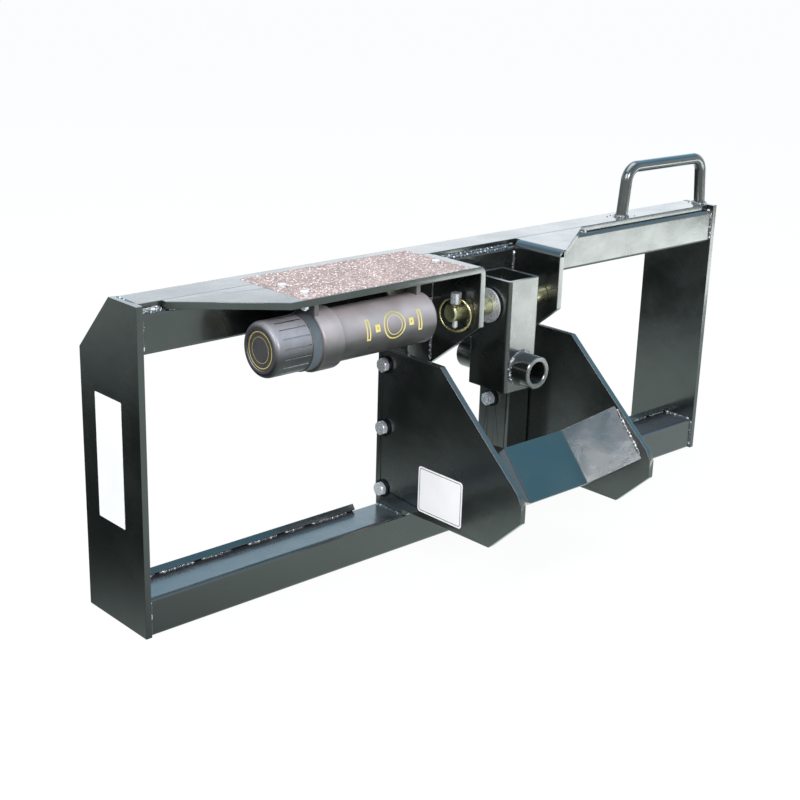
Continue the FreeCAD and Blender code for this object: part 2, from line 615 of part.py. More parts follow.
def make_lynch_ring():
    """Wire ring in the lynch pin's head, hanging round the hinge pin."""
    body = new_body("lynch_ring", along=LYNCH_X, across="-pin_reach",
                    up=f"{PIN_HEIGHT} + {RING_PIVOT} - ring_diameter / 2",
                    axis=Vector(0, 0, 1), angle="lynch_turn")
    wire = new_sketch(body, "XZ_Plane")
    add_circle(wire, ("0", "ring_diameter / 2"), "ring_wire")
    revolve(body, wire)


# ---------------------------------------------------------------- swing tube

def make_swing_tube():
    """Upright tube, cross-drilled for the hinge bushing and for the auger pivot boss."""
    body = new_body("swing_tube", across="-pin_reach")
    outline = new_sketch(body, "XY_Plane", f"{PIN_HEIGHT} - swing_drop")
    add_rounded_box(outline, ("-swing_width / 2", "-swing_depth / 2"),
                    ("swing_width / 2", "swing_depth / 2"), "swing_corner")
    add_rounded_box(outline, ("-swing_width / 2 + swing_wall", "-swing_depth / 2 + swing_wall"),
                    ("swing_width / 2 - swing_wall", "swing_depth / 2 - swing_wall"),
                    "inside_corner")
    pad(body, outline, "swing_drop + swing_rise")
    bushing_hole = new_sketch(body, "YZ_Plane")
    add_circle(bushing_hole, ("0", PIN_HEIGHT), "bushing_diameter")
    cut_through(body, bushing_hole)
    boss_hole = new_sketch(body, "XZ_Plane")
    add_circle(boss_hole, ("0", f"{PIN_HEIGHT} - boss_drop"), "boss_diameter")
    cut_through(body, boss_hole)


def make_ring(name, start, length, outer, inner):
    """Plain collar round the hinge pin."""
    body = new_body(name, across="-pin_reach", up=PIN_HEIGHT)
    sketch = new_sketch(body, "YZ_Plane", start)
    add_circle(sketch, ("0", "0"), outer)
    add_circle(sketch, ("0", "0"), inner)
    return body, pad(body, sketch, length)


def make_hinge_bushing():
    reach = "(swing_width / 2 + bushing_proud)"
    make_ring("hinge_bushing", f"-{reach}", f"2 * {reach}", "bushing_diameter",
              "pin_diameter + 2 * running_gap")


def make_thrust_washers():
    near = "swing_width / 2 + bushing_proud + side_gap"
    body, washer = make_ring("thrust_washers", near, "washer_thickness", "washer_diameter",
                             "pin_diameter + 2 * pin_gap")
    mirror(body, [washer])


def mirror(body, features):
    """Repeat features on the other side of the middle."""
    feature = body.newObject("PartDesign::Mirrored", f"{body.Name}_mirrored")
    feature.Originals = features
    plane = [item for item in body.Origin.OriginFeatures if item.Role == "YZ_Plane"][0]
    feature.MirrorPlane = (plane, [""])
    body.Tip = feature


def make_pivot_boss():
    """Pipe across the swing tube, which the auger motor's pivot pin goes through."""
    body = new_body("pivot_boss", across="-pin_reach", up=f"{PIN_HEIGHT} - boss_drop")
    profile = new_sketch(body, "YZ_Plane")
    half, outer, inner = "boss_length / 2", "boss_diameter / 2", "boss_bore / 2"
    add_polygon(profile, [
        (f"-{half}", f"{inner} + boss_chamfer"), (f"-{half} + boss_chamfer", inner),
        (f"{half} - boss_chamfer", inner), (half, f"{inner} + boss_chamfer"),
        (half, f"{outer} - boss_chamfer"), (f"{half} - boss_chamfer", outer),
        (f"-{half} + boss_chamfer", outer), (f"-{half}", f"{outer} - boss_chamfer")])
    revolve(body, profile)


# ---------------------------------------------------------------- transport cradle

def make_cradle_plate(name, start):
    body = new_body(name)
    sketch = new_sketch(body, "YZ_Plane", start)
    add_polygon(sketch, [
        ("cradle_back - cradle_heel", "cradle_foot"), ("cradle_back", "cradle_foot + cradle_heel / 2"),
        ("cradle_back", "cradle_top"), ("-cradle_shoulder", "cradle_top"),
        ("-(cradle_reach - cradle_brow_inset)", "cradle_brow"),
        ("-cradle_reach", "cradle_nose_high"), ("-cradle_reach", "cradle_nose_low"),
        ("-cradle_chin", "cradle_toe")])
    for index in range(3):
        add_circle(sketch, ("bolt_setback", f"bolt_height + {index} * bolt_pitch"), "bolt_hole")
    pad(body, sketch, "plate")


def make_trough():
    """Folded plate between the cradle plates: a flat floor and two wings, sloping up and back."""
    body = new_body("cradle_trough", across="-trough_front", up="trough_front_height",
                    axis=Vector(1, 0, 0), angle="trough_angle")
    sketch = new_sketch(body, "XZ_Plane")
    fold = f"atan(trough_rise / ({CRADLE_INNER} - trough_floor / 2))"
    under = f"trough_floor / 2 + trough_plate * tan({fold} / 2)"
    drop = f"trough_rise - trough_plate / cos({fold})"
    add_polygon(sketch, [
        (f"-{CRADLE_INNER}", "trough_rise"), ("-trough_floor / 2", "0"),
        ("trough_floor / 2", "0"), (CRADLE_INNER, "trough_rise"), (CRADLE_INNER, drop),
        (under, "-trough_plate"), (f"-({under})", "-trough_plate"), (f"-{CRADLE_INNER}", drop)])
    blank = pad(body, sketch, "trough_length", backwards=True)
    halfway = "trough_length / 2"
    inside = round_edges(body, blank, [("-trough_floor / 2", halfway, "0"),
                                       ("trough_floor / 2", halfway, "0")], "trough_bend")
    round_edges(body, inside, [(f"-({under})", halfway, "-trough_plate"),
                               (under, halfway, "-trough_plate")], "trough_bend + trough_plate")


def repeat_bolts(body, features):
    """Three up the upright, and the same on the other side."""
    rows = body.newObject("PartDesign::LinearPattern", f"{body.Name}_rows")
    axis = [item for item in body.Origin.OriginFeatures if item.Role == "Z_Axis"][0]
    rows.Direction = (axis, [""])
    rows.Occurrences = 3
    bind(rows, "Length", "2 * bolt_pitch")
    sides = body.newObject("PartDesign::Mirrored", f"{body.Name}_sides")
    plane = [item for item in body.Origin.OriginFeatures if item.Role == "YZ_Plane"][0]
    sides.MirrorPlane = (plane, [""])
    both = body.newObject("PartDesign::MultiTransform", f"{body.Name}_pattern")
    both.Originals = features
    both.Transformations = [rows, sides]
    body.Tip = both


def make_bolts():
    """Hexagon bolts through the cradle plates and the uprights, heads outside."""
    body = new_body("cradle_bolts", across="bolt_setback", up="bolt_height")
    head = new_sketch(body, "YZ_Plane", HEAD_SEAT)
    add_polygon(head, hexagon(("0", "0"), "bolt_head"))
    head_pad = pad(body, head, "bolt_head_height")
    shank = new_sketch(body, "YZ_Plane", f"{NUT_SEAT} - nut_height - bolt_end")
    add_circle(shank, ("0", "0"), "bolt_diameter")
    shank_pad = pad(body, shank, f"{HEAD_SEAT} - {NUT_SEAT} + nut_height + bolt_end")
    repeat_bolts(body, [head_pad, shank_pad])


def make_nuts():
    body = new_body("cradle_nuts", across="bolt_setback", up="bolt_height")
    sketch = new_sketch(body, "YZ_Plane", f"{NUT_SEAT} - nut_height")
    add_polygon(sketch, hexagon(("0", "0"), "bolt_head"))
    add_circle(sketch, ("0", "0"), "bolt_diameter")
    repeat_bolts(body, [pad(body, sketch, "nut_height")])


def make_bolt_washers():
    body = new_body("cradle_washers", across="bolt_setback", up="bolt_height")
    pads = []
    for start in ("cradle_width / 2", NUT_SEAT):
        sketch = new_sketch(body, "YZ_Plane", start)
        add_circle(sketch, ("0", "0"), "bolt_washer")
        add_circle(sketch, ("0", "0"), "bolt_hole")
        pads.append(pad(body, sketch, "bolt_washer_thickness"))
    repeat_bolts(body, pads)


# ---------------------------------------------------------------- document tube

def make_document_tube():
    """Moulded tube, closed at its right end, hung from the step plate by two flanges."""
    body = new_body("document_tube", across="-tube_axis_reach", up=TUBE_AXIS)
    outer = new_sketch(body, "XY_Plane")
    neck_end = "-(band_left + neck_length)"
    radius, collar = "tube_diameter / 2", "collar_diameter / 2"
    add_polygon(outer, [
        (neck_end, "0"), (neck_end, "neck_diameter / 2"), ("-band_left", "neck_diameter / 2"),
        ("-band_left", "band_diameter / 2"), (f"-{COLLAR_LEFT}", "band_diameter / 2"),
        (f"-{COLLAR_LEFT}", collar), (f"-{COLLAR_RIGHT}", collar), (f"-{COLLAR_RIGHT}", radius),
        ("-tube_right", radius), ("-tube_right", "0")])
    turned = revolve(body, outer)
    collared = round_edges(body, turned, [(f"-{COLLAR_LEFT}", "0", collar),
                                          (f"-{COLLAR_RIGHT}", "0", collar)], "collar_round")
    round_edges(body, collared, [("-tube_right", "0", radius)], "tube_end_round")
    add_foot(body, (f"-({SCREW_LEFT} + foot_margin)", "tube_axis_reach - screw_left_front - foot_margin"),
             (f"-{COLLAR_RIGHT}", "tube_axis_reach - screw_left_rear + foot_margin"),
             SCREWS[:2])
    add_foot(body, ("-(tube_right + 2 * foot_margin)",
                    "tube_axis_reach - screw_right_reach - foot_margin"),
             (f"-({SCREW_RIGHT} - foot_margin)", "tube_axis_reach - screw_right_reach + foot_margin"),
             SCREWS[2:])
    add_web(body, f"-{COLLAR_LEFT}", "foot_web_span")
    add_web(body, "-(tube_right + 2 * foot_margin)", "foot_web_right")
    hollow = new_sketch(body, "XY_Plane")
    bore = "neck_diameter / 2 - tube_wall"
    add_polygon(hollow, [
        (neck_end, "0"), (neck_end, bore), (f"-{COLLAR_RIGHT}", bore),
        (f"-{COLLAR_RIGHT} + tube_wall", f"{radius} - tube_wall"),
        ("-tube_right - tube_end_round", f"{radius} - tube_wall"),
        ("-tube_right - tube_wall", f"{radius} - tube_end_round"),
        ("-tube_right - tube_wall", "0")])
    groove = new_feature(body, "Groove", hollow)
    groove.ReferenceAxis = (hollow, ["H_Axis"])


def add_foot(body, low, high, screws):
    sketch = new_sketch(body, "XY_Plane", "tube_axis_drop - foot_thickness")
    add_rounded_box(sketch, low, high, "foot_corner")
    for x, y in screws:
        add_circle(sketch, (x, f"tube_axis_reach + {y}"), "screw_hole")
    pad(body, sketch, "foot_thickness")


def add_web(body, left, span):
    """Post from the tube's axis up to its flange."""
    sketch = new_sketch(body, "XY_Plane")
    add_rounded_box(sketch, (left, f"-{span} / 2"), (f"{left} + foot_web", f"{span} / 2"),
                    "foot_web_corner")
    pad(body, sketch, "tube_axis_drop - foot_thickness / 2")


def make_tube_cap():
    """Screw cap: a ribbed skirt over the neck, rounded at the end, with a recessed disc."""
    body = new_body("document_tube_cap", across="-tube_axis_reach", up=TUBE_AXIS)
    profile = new_sketch(body, "XY_Plane")
    mouth = "-(band_left + side_gap)"
    radius, inside = "cap_diameter / 2", "neck_diameter / 2 + pin_gap"
    roof = "-(band_left + neck_length + side_gap + seal_thickness)"
    add_polygon(profile, [
        (mouth, inside), (mouth, radius), (f"-{CAP_LEFT}", radius),
        (f"-{CAP_LEFT}", "cap_recess_diameter / 2"),
        (f"-{CAP_LEFT} + cap_recess_depth", "cap_recess_diameter / 2"),
        (f"-{CAP_LEFT} + cap_recess_depth", "0"), (roof, "0"), (roof, inside)])
    round_edges(body, revolve(body, profile), [(f"-{CAP_LEFT}", "0", radius)], "cap_round")
    slot = new_sketch(body, "XY_Plane", f"{radius} - cap_groove_depth")
    add_rounded_box(slot, (f"{mouth} - cap_rim - cap_groove_length", "-cap_groove / 2"),
                    (f"{mouth} - cap_rim", "cap_groove / 2"), "cap_groove_corner")
    groove = new_feature(body, "Pocket", slot)
    groove.Type = "ThroughAll"
    groove.Reversed = True
    ribs = body.newObject("PartDesign::PolarPattern", "cap_ribs")
    axis = [item for item in body.Origin.OriginFeatures if item.Role == "X_Axis"][0]
    ribs.Originals = [groove]
    ribs.Axis = (axis, [""])
    ribs.Angle = 360
    bind(ribs, "Occurrences", "cap_rib_count")
    body.Tip = ribs


def make_tube_seal():
    """Flat sealing ring between the neck's rim and the roof of the cap."""
    body = new_body("document_tube_seal", across="-tube_axis_reach", up=TUBE_AXIS)
    sketch = new_sketch(body, "YZ_Plane", "-(band_left + neck_length + seal_thickness)")
    add_circle(sketch, ("0", "0"), "neck_diameter")
    add_circle(sketch, ("0", "0"), "neck_diameter - 2 * tube_wall")
    pad(body, sketch, "seal_thickness")


def make_screws():
    body = new_body("tube_screws", up="frame_height")
    heads = new_sketch(body, "XY_Plane")
    shanks = new_sketch(body, "XY_Plane")
    for x, y in SCREWS:
        add_circle(heads, (x, y), "screw_head")
        add_circle(shanks, (x, y), "screw_diameter")
    pad(body, heads, "screw_head_height")
    pad(body, shanks, "plate + foot_thickness + screw_nut_height + screw_end", backwards=True)


def make_screw_nuts():
    body = new_body("tube_screw_nuts", up=f"{RAIL_TOP} - foot_thickness")
    sketch = new_sketch(body, "XY_Plane")
    for x, y in SCREWS:
        add_polygon(sketch, hexagon((x, y), "screw_nut"))
        add_circle(sketch, (x, y), "screw_diameter")
    pad(body, sketch, "screw_nut_height", backwards=True)


# ---------------------------------------------------------------- the assembly

for side, start in (("left", "-frame_width / 2"), ("right", "frame_width / 2 - plate")):
    make_end_plate(f"{side}_end_plate", start)
make_rail("top_rail", f"({LIP_INNER_Y} + rail_tuck - rail_setback)", f"({RAIL_TOP} - rail_height)")
make_rail("bottom_rail", "bottom_rail_depth", "0")
make_upright("left_upright", f"-{CRADLE_INNER}")
make_upright("right_upright", UPRIGHT_INNER)
make_hook_lip()
make_latch_flange("left_latch_flange", f"-{INNER_HALF}", "-latch_spacing / 2")
make_latch_flange("right_latch_flange", "flange_inner_reach", "latch_spacing / 2")
make_step_plate()
make_right_bracket()
make_grip_tape()
make_handle()
make_hinge_pin()
make_lynch_pin()
make_lynch_ring()
make_swing_tube()
make_hinge_bushing()
make_thrust_washers()
make_pivot_boss()
make_cradle_plate("left_cradle_plate", "-cradle_width / 2")
make_cradle_plate("right_cradle_plate", CRADLE_INNER)
make_trough()
make_bolts()
make_nuts()
make_bolt_washers()
make_document_tube()
make_tube_cap()
make_tube_seal()
make_screws()
make_screw_nuts()

doc.recompute()
for item in doc.Objects:
    if "Invalid" in item.State or "Error" in item.State:
        raise RuntimeError(f"{item.Label} failed: {item.State}")
for part in parts:
    if part.Shape.isNull() or not part.Shape.isValid():
        raise RuntimeError(f"{part.Label} has no valid shape")
for part in parts:
    part.Shape.exportStep(f"parts/{part.Label}.step")
    box = part.Shape.BoundBox
    print(f"{part.Label}: {len(part.Shape.Solids)} solids, x {box.XMin:.1f} {box.XMax:.1f},"
          f" y {box.YMin:.1f} {box.YMax:.1f}, z {box.ZMin:.1f} {box.ZMax:.1f}")
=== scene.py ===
import json
import math
import random

import bmesh
import bpy
from mathutils import Matrix, Vector, noise


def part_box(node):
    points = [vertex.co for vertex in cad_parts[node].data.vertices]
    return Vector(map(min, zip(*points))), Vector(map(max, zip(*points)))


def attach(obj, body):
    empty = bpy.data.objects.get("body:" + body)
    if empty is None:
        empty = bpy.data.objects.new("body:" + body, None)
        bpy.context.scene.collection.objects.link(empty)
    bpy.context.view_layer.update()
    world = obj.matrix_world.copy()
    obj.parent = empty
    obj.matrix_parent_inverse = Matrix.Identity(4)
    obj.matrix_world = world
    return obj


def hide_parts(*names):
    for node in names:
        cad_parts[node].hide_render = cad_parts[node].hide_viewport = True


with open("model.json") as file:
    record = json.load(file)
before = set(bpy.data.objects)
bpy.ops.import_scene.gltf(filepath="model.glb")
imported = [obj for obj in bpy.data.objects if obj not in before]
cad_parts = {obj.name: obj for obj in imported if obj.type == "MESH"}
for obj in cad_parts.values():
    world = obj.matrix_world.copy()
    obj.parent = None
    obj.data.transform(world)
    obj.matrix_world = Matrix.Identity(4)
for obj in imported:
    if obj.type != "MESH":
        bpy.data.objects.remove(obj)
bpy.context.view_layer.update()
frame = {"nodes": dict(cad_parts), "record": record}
NODES = frame["nodes"]
MM = 0.001
UP = Vector((0, 0, 1))

# sizes that the frame's boxes don't give
TUBE_RADIUS = 36 * MM
MOUTH_RADIUS = 38 * MM
CAP_RECESS = 1.2 * MM
TROUGH_SLOPE = math.radians(49.5)
TROUGH_WING = 86 * MM
THREAD_RADIUS = 6.2 * MM
THREAD_PITCH = 1.3 * MM


# ---------------------------------------------------------------- places taken from the frame

def low(node):
    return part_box(node)[0]


def high(node):
    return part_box(node)[1]


def middle(node):
    lowest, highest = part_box(node)
    return (lowest + highest) / 2


# ---------------------------------------------------------------- node helpers

class Shader:
    """A material's node tree with short calls for the nodes used here."""

    def __init__(self, name):
        self.material = bpy.data.materials.new(name)
        self.material.use_nodes = True
        self.tree = self.material.node_tree
        self.tree.nodes.clear()
        self.output = self.node("ShaderNodeOutputMaterial")
        self.bsdf = self.node("ShaderNodeBsdfPrincipled")
        self.link(self.bsdf.outputs[0], self.output.inputs["Surface"])
        self.place = self.node("ShaderNodeTexCoord").outputs["Object"]

    def node(self, kind):
        return self.tree.nodes.new(kind)

    def link(self, source, target):
        self.tree.links.new(source, target)

    def set(self, **values):
        """Plain numbers and colours on the surface shader's own sockets."""
        for name, number in values.items():
            self.bsdf.inputs[name.replace("_", " ")].default_value = number

    def feed(self, target, source):
        if hasattr(source, "is_output"):
            self.link(source, target)
        else:
            target.default_value = source

    def noise(self, scale, detail=3.0, place=None):
        item = self.node("ShaderNodeTexNoise")
        item.inputs["Scale"].default_value = scale
        item.inputs["Detail"].default_value = detail
        self.link(place or self.place, item.inputs["Vector"])
        return item.outputs["Fac"]

    def voronoi(self, scale, output="Distance"):
        item = self.node("ShaderNodeTexVoronoi")
        item.inputs["Scale"].default_value = scale
        self.link(self.place, item.inputs["Vector"])
        return item.outputs[output]

    def stretch(self, factors):
        item = self.node("ShaderNodeMapping")
        item.inputs["Scale"].default_value = factors
        self.link(self.place, item.inputs["Vector"])
        return item.outputs["Vector"]

    def axis(self, letter, source=None):
        item = self.node("ShaderNodeSeparateXYZ")
        self.link(source or self.place, item.inputs[0])
        return item.outputs[letter]

    def normal(self, letter):
        return self.axis(letter, self.node("ShaderNodeNewGeometry").outputs["Normal"])

    def math(self, operation, first, second=0.0):
        item = self.node("ShaderNodeMath")
        item.operation = operation
        self.feed(item.inputs[0], first)
        self.feed(item.inputs[1], second)
        return item.outputs[0]

    def ramp(self, source, low_in, high_in, low_out=0.0, high_out=1.0):
        """Maps a number from one span to another, smoothly and with both ends held."""
        item = self.node("ShaderNodeMapRange")
        item.interpolation_type = "SMOOTHSTEP"
        for index, number in enumerate((low_in, high_in, low_out, high_out), 1):
            item.inputs[index].default_value = number
        self.link(source, item.inputs[0])
        return item.outputs[0]

    def mix(self, factor, first, second):
        item = self.node("ShaderNodeMix")
        item.data_type = "RGBA"
        self.feed(item.inputs["Factor"], factor)
        self.feed(item.inputs["A"], first)
        self.feed(item.inputs["B"], second)
        return item.outputs["Result"]

    def bump(self, height, distance, strength=1.0):
        item = self.node("ShaderNodeBump")
        item.inputs["Strength"].default_value = strength
        item.inputs["Distance"].default_value = distance
        self.link(height, item.inputs["Height"])
        self.link(item.outputs[0], self.bsdf.inputs["Normal"])

    def colour(self, source):
        self.link(source, self.bsdf.inputs["Base Color"])

    def roughness(self, source):
        self.link(source, self.bsdf.inputs["Roughness"])


def grey(level, tint=(1.0, 1.0, 1.0)):
    return (level * tint[0], level * tint[1], level * tint[2], 1.0)


# ---------------------------------------------------------------- materials

def black_paint():
    """Gloss black enamel: orange peel, slow waves, a pale bluish film thickest on level faces that is
    partly dust and partly a painted reflection of the sky, and a few pale specks."""
    shader = Shader("black_paint")
    cloud = shader.noise(4.0, detail=4.0)
    # painted reflection: the film lightens faces that look up with a pale bluish colour, partly dust and
    # partly the sky's reflection painted in
    level = shader.ramp(shader.normal("Z"), 0.6, 0.95)
    film = shader.math("MULTIPLY", level, shader.ramp(cloud, 0.25, 0.8, 0.35, 1.0))
    ground = shader.mix(shader.ramp(shader.noise(11.0, detail=5.0), 0.35, 0.75),
                        grey(0.004, (0.8, 1.15, 1.0)), grey(0.010, (0.82, 1.12, 1.0)))
    dust_and_sheen = shader.mix(film, ground, grey(0.060, (0.92, 1.0, 1.14)))
    specks = shader.ramp(shader.voronoi(620.0), 0.06, 0.13, 1.0, 0.0)
    thin = shader.math("MULTIPLY", specks, shader.ramp(shader.noise(35.0), 0.52, 0.66))
    dust_and_sheen = shader.mix(shader.math("MULTIPLY", thin, 0.35), dust_and_sheen, grey(0.30, (1.0, 0.96, 0.9)))
    shader.colour(dust_and_sheen)
    rough = shader.ramp(shader.noise(16.0, detail=4.0), 0.3, 0.75, 0.16, 0.34)
    shader.roughness(rough)
    shader.set(Specular_IOR_Level=1.0, Coat_Weight=1.0, Coat_Roughness=0.12)
    peel = shader.math("MULTIPLY", shader.noise(700.0, detail=2.0), 0.12)
    wave = shader.math("MULTIPLY", shader.noise(24.0, detail=2.0), 0.9)
    shader.bump(shader.math("ADD", peel, wave), 0.0009)
    return shader.material


def weld_paint():
    """The same enamel over the rippled beads, glossier, with pale flecks that are partly unpainted weld
    and partly painted glints.
    """
    shader = Shader("weld_paint")
    coat = shader.mix(shader.ramp(shader.noise(90.0), 0.35, 0.7),
                      grey(0.010), grey(0.05, (0.9, 1.0, 1.15)))
    # painted highlight: the pale flecks stand partly for unpainted weld and partly for glints where the
    # beads catch light
    bare_and_glint = shader.ramp(shader.noise(260.0, detail=3.0), 0.56, 0.62)
    shader.colour(shader.mix(bare_and_glint, coat, grey(0.62, (0.95, 1.0, 1.04))))
    shader.set(Roughness=0.16, Specular_IOR_Level=1.0, Coat_Weight=1.0, Coat_Roughness=0.06)
    shader.bump(shader.noise(420.0, detail=2.0), 0.0005)
    return shader.material


def plated(name, colour, rough, stain, metallic=1.0):
    """Zinc plate: faint clouding and fine scratches."""
    shader = Shader(name)
    cloud = shader.ramp(shader.noise(120.0, detail=4.0), 0.3, 0.75)
    shader.colour(shader.mix(cloud, colour, stain))
    scratches = shader.noise(900.0, detail=3.0, place=shader.stretch((0.15, 1.0, 1.0)))
    shader.roughness(shader.ramp(shader.noise(300.0), 0.2, 0.8, rough * 0.8, rough * 1.3))
    shader.set(Metallic=metallic)
    shader.bump(scratches, 0.00006)
    return shader.material


def machined():
    """Turned steel with a faint grain."""
    shader = Shader("machined")
    shader.colour(shader.mix(shader.noise(60.0), grey(0.46, (1.0, 0.98, 0.93)),
                             grey(0.60, (1.0, 0.99, 0.95))))
    shader.set(Metallic=1.0, Roughness=0.38)
    shader.bump(shader.noise(1500.0, detail=2.0), 0.00005)
    return shader.material


def grit():
    """Coarse mineral grit: each grain has its own shade, with pale and dark grains scattered."""
    shader = Shader("grip_tape")
    grain = shader.axis("X", shader.voronoi(520.0, "Color"))
    base = shader.mix(grain, (0.15, 0.10, 0.09, 1), (0.47, 0.35, 0.32, 1))
    patch = shader.ramp(shader.noise(28.0, detail=4.0), 0.35, 0.7)
    base = shader.mix(shader.math("MULTIPLY", patch, 0.45), base, (0.17, 0.12, 0.11, 1))
    bright = shader.ramp(shader.axis("Y", shader.voronoi(520.0, "Color")), 0.86, 0.95)
    shader.colour(shader.mix(bright, base, (0.80, 0.70, 0.67, 1)))
    shader.set(Roughness=0.62, Specular_IOR_Level=0.6)
    shader.bump(shader.voronoi(700.0), 0.0006)
    return shader.material


def satin_plastic(name, dark, pale, rough, sheen_level, film=None):
    """Moulded plastic with a faint grain, and where film is given, a painted sheen: that colour laid on
    the top of the part, where the light falls.
    """
    shader = Shader(name)
    tone = shader.mix(shader.ramp(shader.noise(45.0), 0.3, 0.75), dark, pale)
    if film:
        # painted sheen: the top of the part is lightened with the film colour, standing in for the light
        # that falls on it
        lit_upper_side = shader.ramp(shader.normal("Z"), -0.25, 0.85)
        patchy = shader.ramp(shader.noise(30.0, detail=5.0), 0.2, 0.7, 0.75, 1.0)
        tone = shader.mix(shader.math("MULTIPLY", lit_upper_side, patchy), tone, film)
    shader.colour(tone)
    shader.roughness(shader.ramp(shader.noise(60.0), 0.3, 0.7, rough * 0.85, rough * 1.15))
    shader.set(Specular_IOR_Level=sheen_level)
    shader.bump(shader.noise(1300.0, detail=2.0), 0.00012)
    return shader.material


def printed(name, colour, rough, metallic=0.0):
    """Label film and print, slightly faded in patches."""
    shader = Shader(name)
    worn = shader.ramp(shader.noise(14.0, detail=5.0), 0.3, 0.8)
    faded = tuple(channel * 0.93 for channel in colour[:3]) + (1,)
    shader.colour(shader.mix(worn, colour, faded))
    shader.set(Roughness=rough, Metallic=metallic)
    shader.bump(shader.noise(9.0), 0.0004)
    return shader.material


MATERIALS = {
    "black_paint": black_paint(),
    "zinc": plated("zinc", grey(0.84, (0.96, 0.98, 1.04)), 0.28, grey(0.66), metallic=0.6),
    "bare_steel": machined(),
    "yellow_zinc": plated("yellow_zinc", (0.80, 0.64, 0.26, 1), 0.24, (0.70, 0.62, 0.38, 1)),
    "grip_tape": grit(),
    # painted sheen: the tube's film colour lightens its top to a pinkish grey where the light falls
    "tube_plastic": satin_plastic("tube_plastic", grey(0.030, (1.14, 1.0, 0.98)),
                                  grey(0.045, (1.12, 1.0, 0.99)), 0.36, 0.8,
                                  film=(0.54, 0.48, 0.49, 1)),
    # painted highlight: the cap's film colour lightens its top to a lilac grey where the light falls
    "cap_plastic": satin_plastic("cap_plastic", grey(0.010), grey(0.018), 0.30, 0.8,
                                 film=(0.38, 0.37, 0.41, 1)),
    "seal_rubber": satin_plastic("seal_rubber", grey(0.016), grey(0.024), 0.6, 0.5),
    "band_plastic": satin_plastic("band_plastic", grey(0.10, (0.82, 1.0, 1.12)),
                                  grey(0.13, (0.85, 1.0, 1.1)), 0.5, 0.4),
    "weld_paint": weld_paint(),
    "label_film": printed("label_film", (0.93, 0.90, 0.90, 1), 0.35),
    "label_ink": printed("label_ink", (0.05, 0.05, 0.06, 1), 0.35),
    "gold_print": printed("gold_print", (0.83, 0.66, 0.20, 1), 0.35, 0.35),
    "olive_zinc": plated("olive_zinc", (0.62, 0.58, 0.34, 1), 0.30, (0.46, 0.46, 0.30, 1)),
    "dark_washer": plated("dark_washer", grey(0.035, (0.8, 0.95, 1.3)), 0.4, grey(0.02)),
}
OWN_FINISH = {"hinge_pin": "olive_zinc", "cradle_washers": "dark_washer"}
FLAT_PLATES = ["left_end_plate", "right_end_plate", "hook_lip", "left_latch_flange",
               "right_latch_flange", "step_plate", "right_ear_bracket", "left_cradle_plate",
               "right_cradle_plate", "cradle_trough", "left_upright", "right_upright", "swing_tube"]


def dress_frame():
    """Each CAD node gets its material, and plates get a small bevel so that their edges catch light."""
    for part in frame["record"]["subparts"]:
        node = NODES[part["node"]]
        finish = OWN_FINISH.get(node.name, part["material_slot"])
        node.data.materials.clear()
        node.data.materials.append(MATERIALS[finish])
    for name in FLAT_PLATES:
        weld = NODES[name].modifiers.new("joined", "WELD")
        weld.merge_threshold = 0.01 * MM
        bevel = NODES[name].modifiers.new("worn edges", "BEVEL")
        bevel.width = 0.9 * MM
        bevel.segments = 2
        bevel.limit_method = "ANGLE"
        bevel.angle_limit = math.radians(40)
        shade = NODES[name].modifiers.new("flat faces", "WEIGHTED_NORMAL")
        shade.weight = 100


# ---------------------------------------------------------------- mesh helpers

def add_object(name, mesh):
    """Puts a mesh into the scene."""
    thing = bpy.data.objects.new(name, mesh)
    bpy.context.scene.collection.objects.link(thing)
    return thing


def add_piece(name, mesh, finish, body):
    """A mesh that is part of the product: its finish and its body."""
    thing = add_object(name, mesh)
    mesh.materials.append(MATERIALS[finish])
    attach(thing, body)
    return thing


def from_bmesh(name, shape, smooth=True):
    """Finishes a shape as a mesh, its faces turned outwards."""
    bmesh.ops.recalc_face_normals(shape, faces=shape.faces)
    mesh = bpy.data.meshes.new(name)
    shape.to_mesh(mesh)
    shape.free()
    if smooth:
        mesh.shade_smooth()
    return mesh


# ---------------------------------------------------------------- welds

BEAD_SIDES = 10
RING_SPACING = 0.9 * MM
RIPPLE = 2.6 * MM


def resample(corners, step):
    """Evenly spaced points along straight runs, and the distance of each from the start."""
    points = [Vector(corner) for corner in corners]
    spots = []
    travelled = 0.0
    for start, end in zip(points, points[1:]):
        run = (end - start).length
        count = max(2, int(run / step))
        spots += [(start.lerp(end, k / count), travelled + run * k / count) for k in range(count)]
        travelled += run
    spots.append((points[-1], travelled))
    return spots


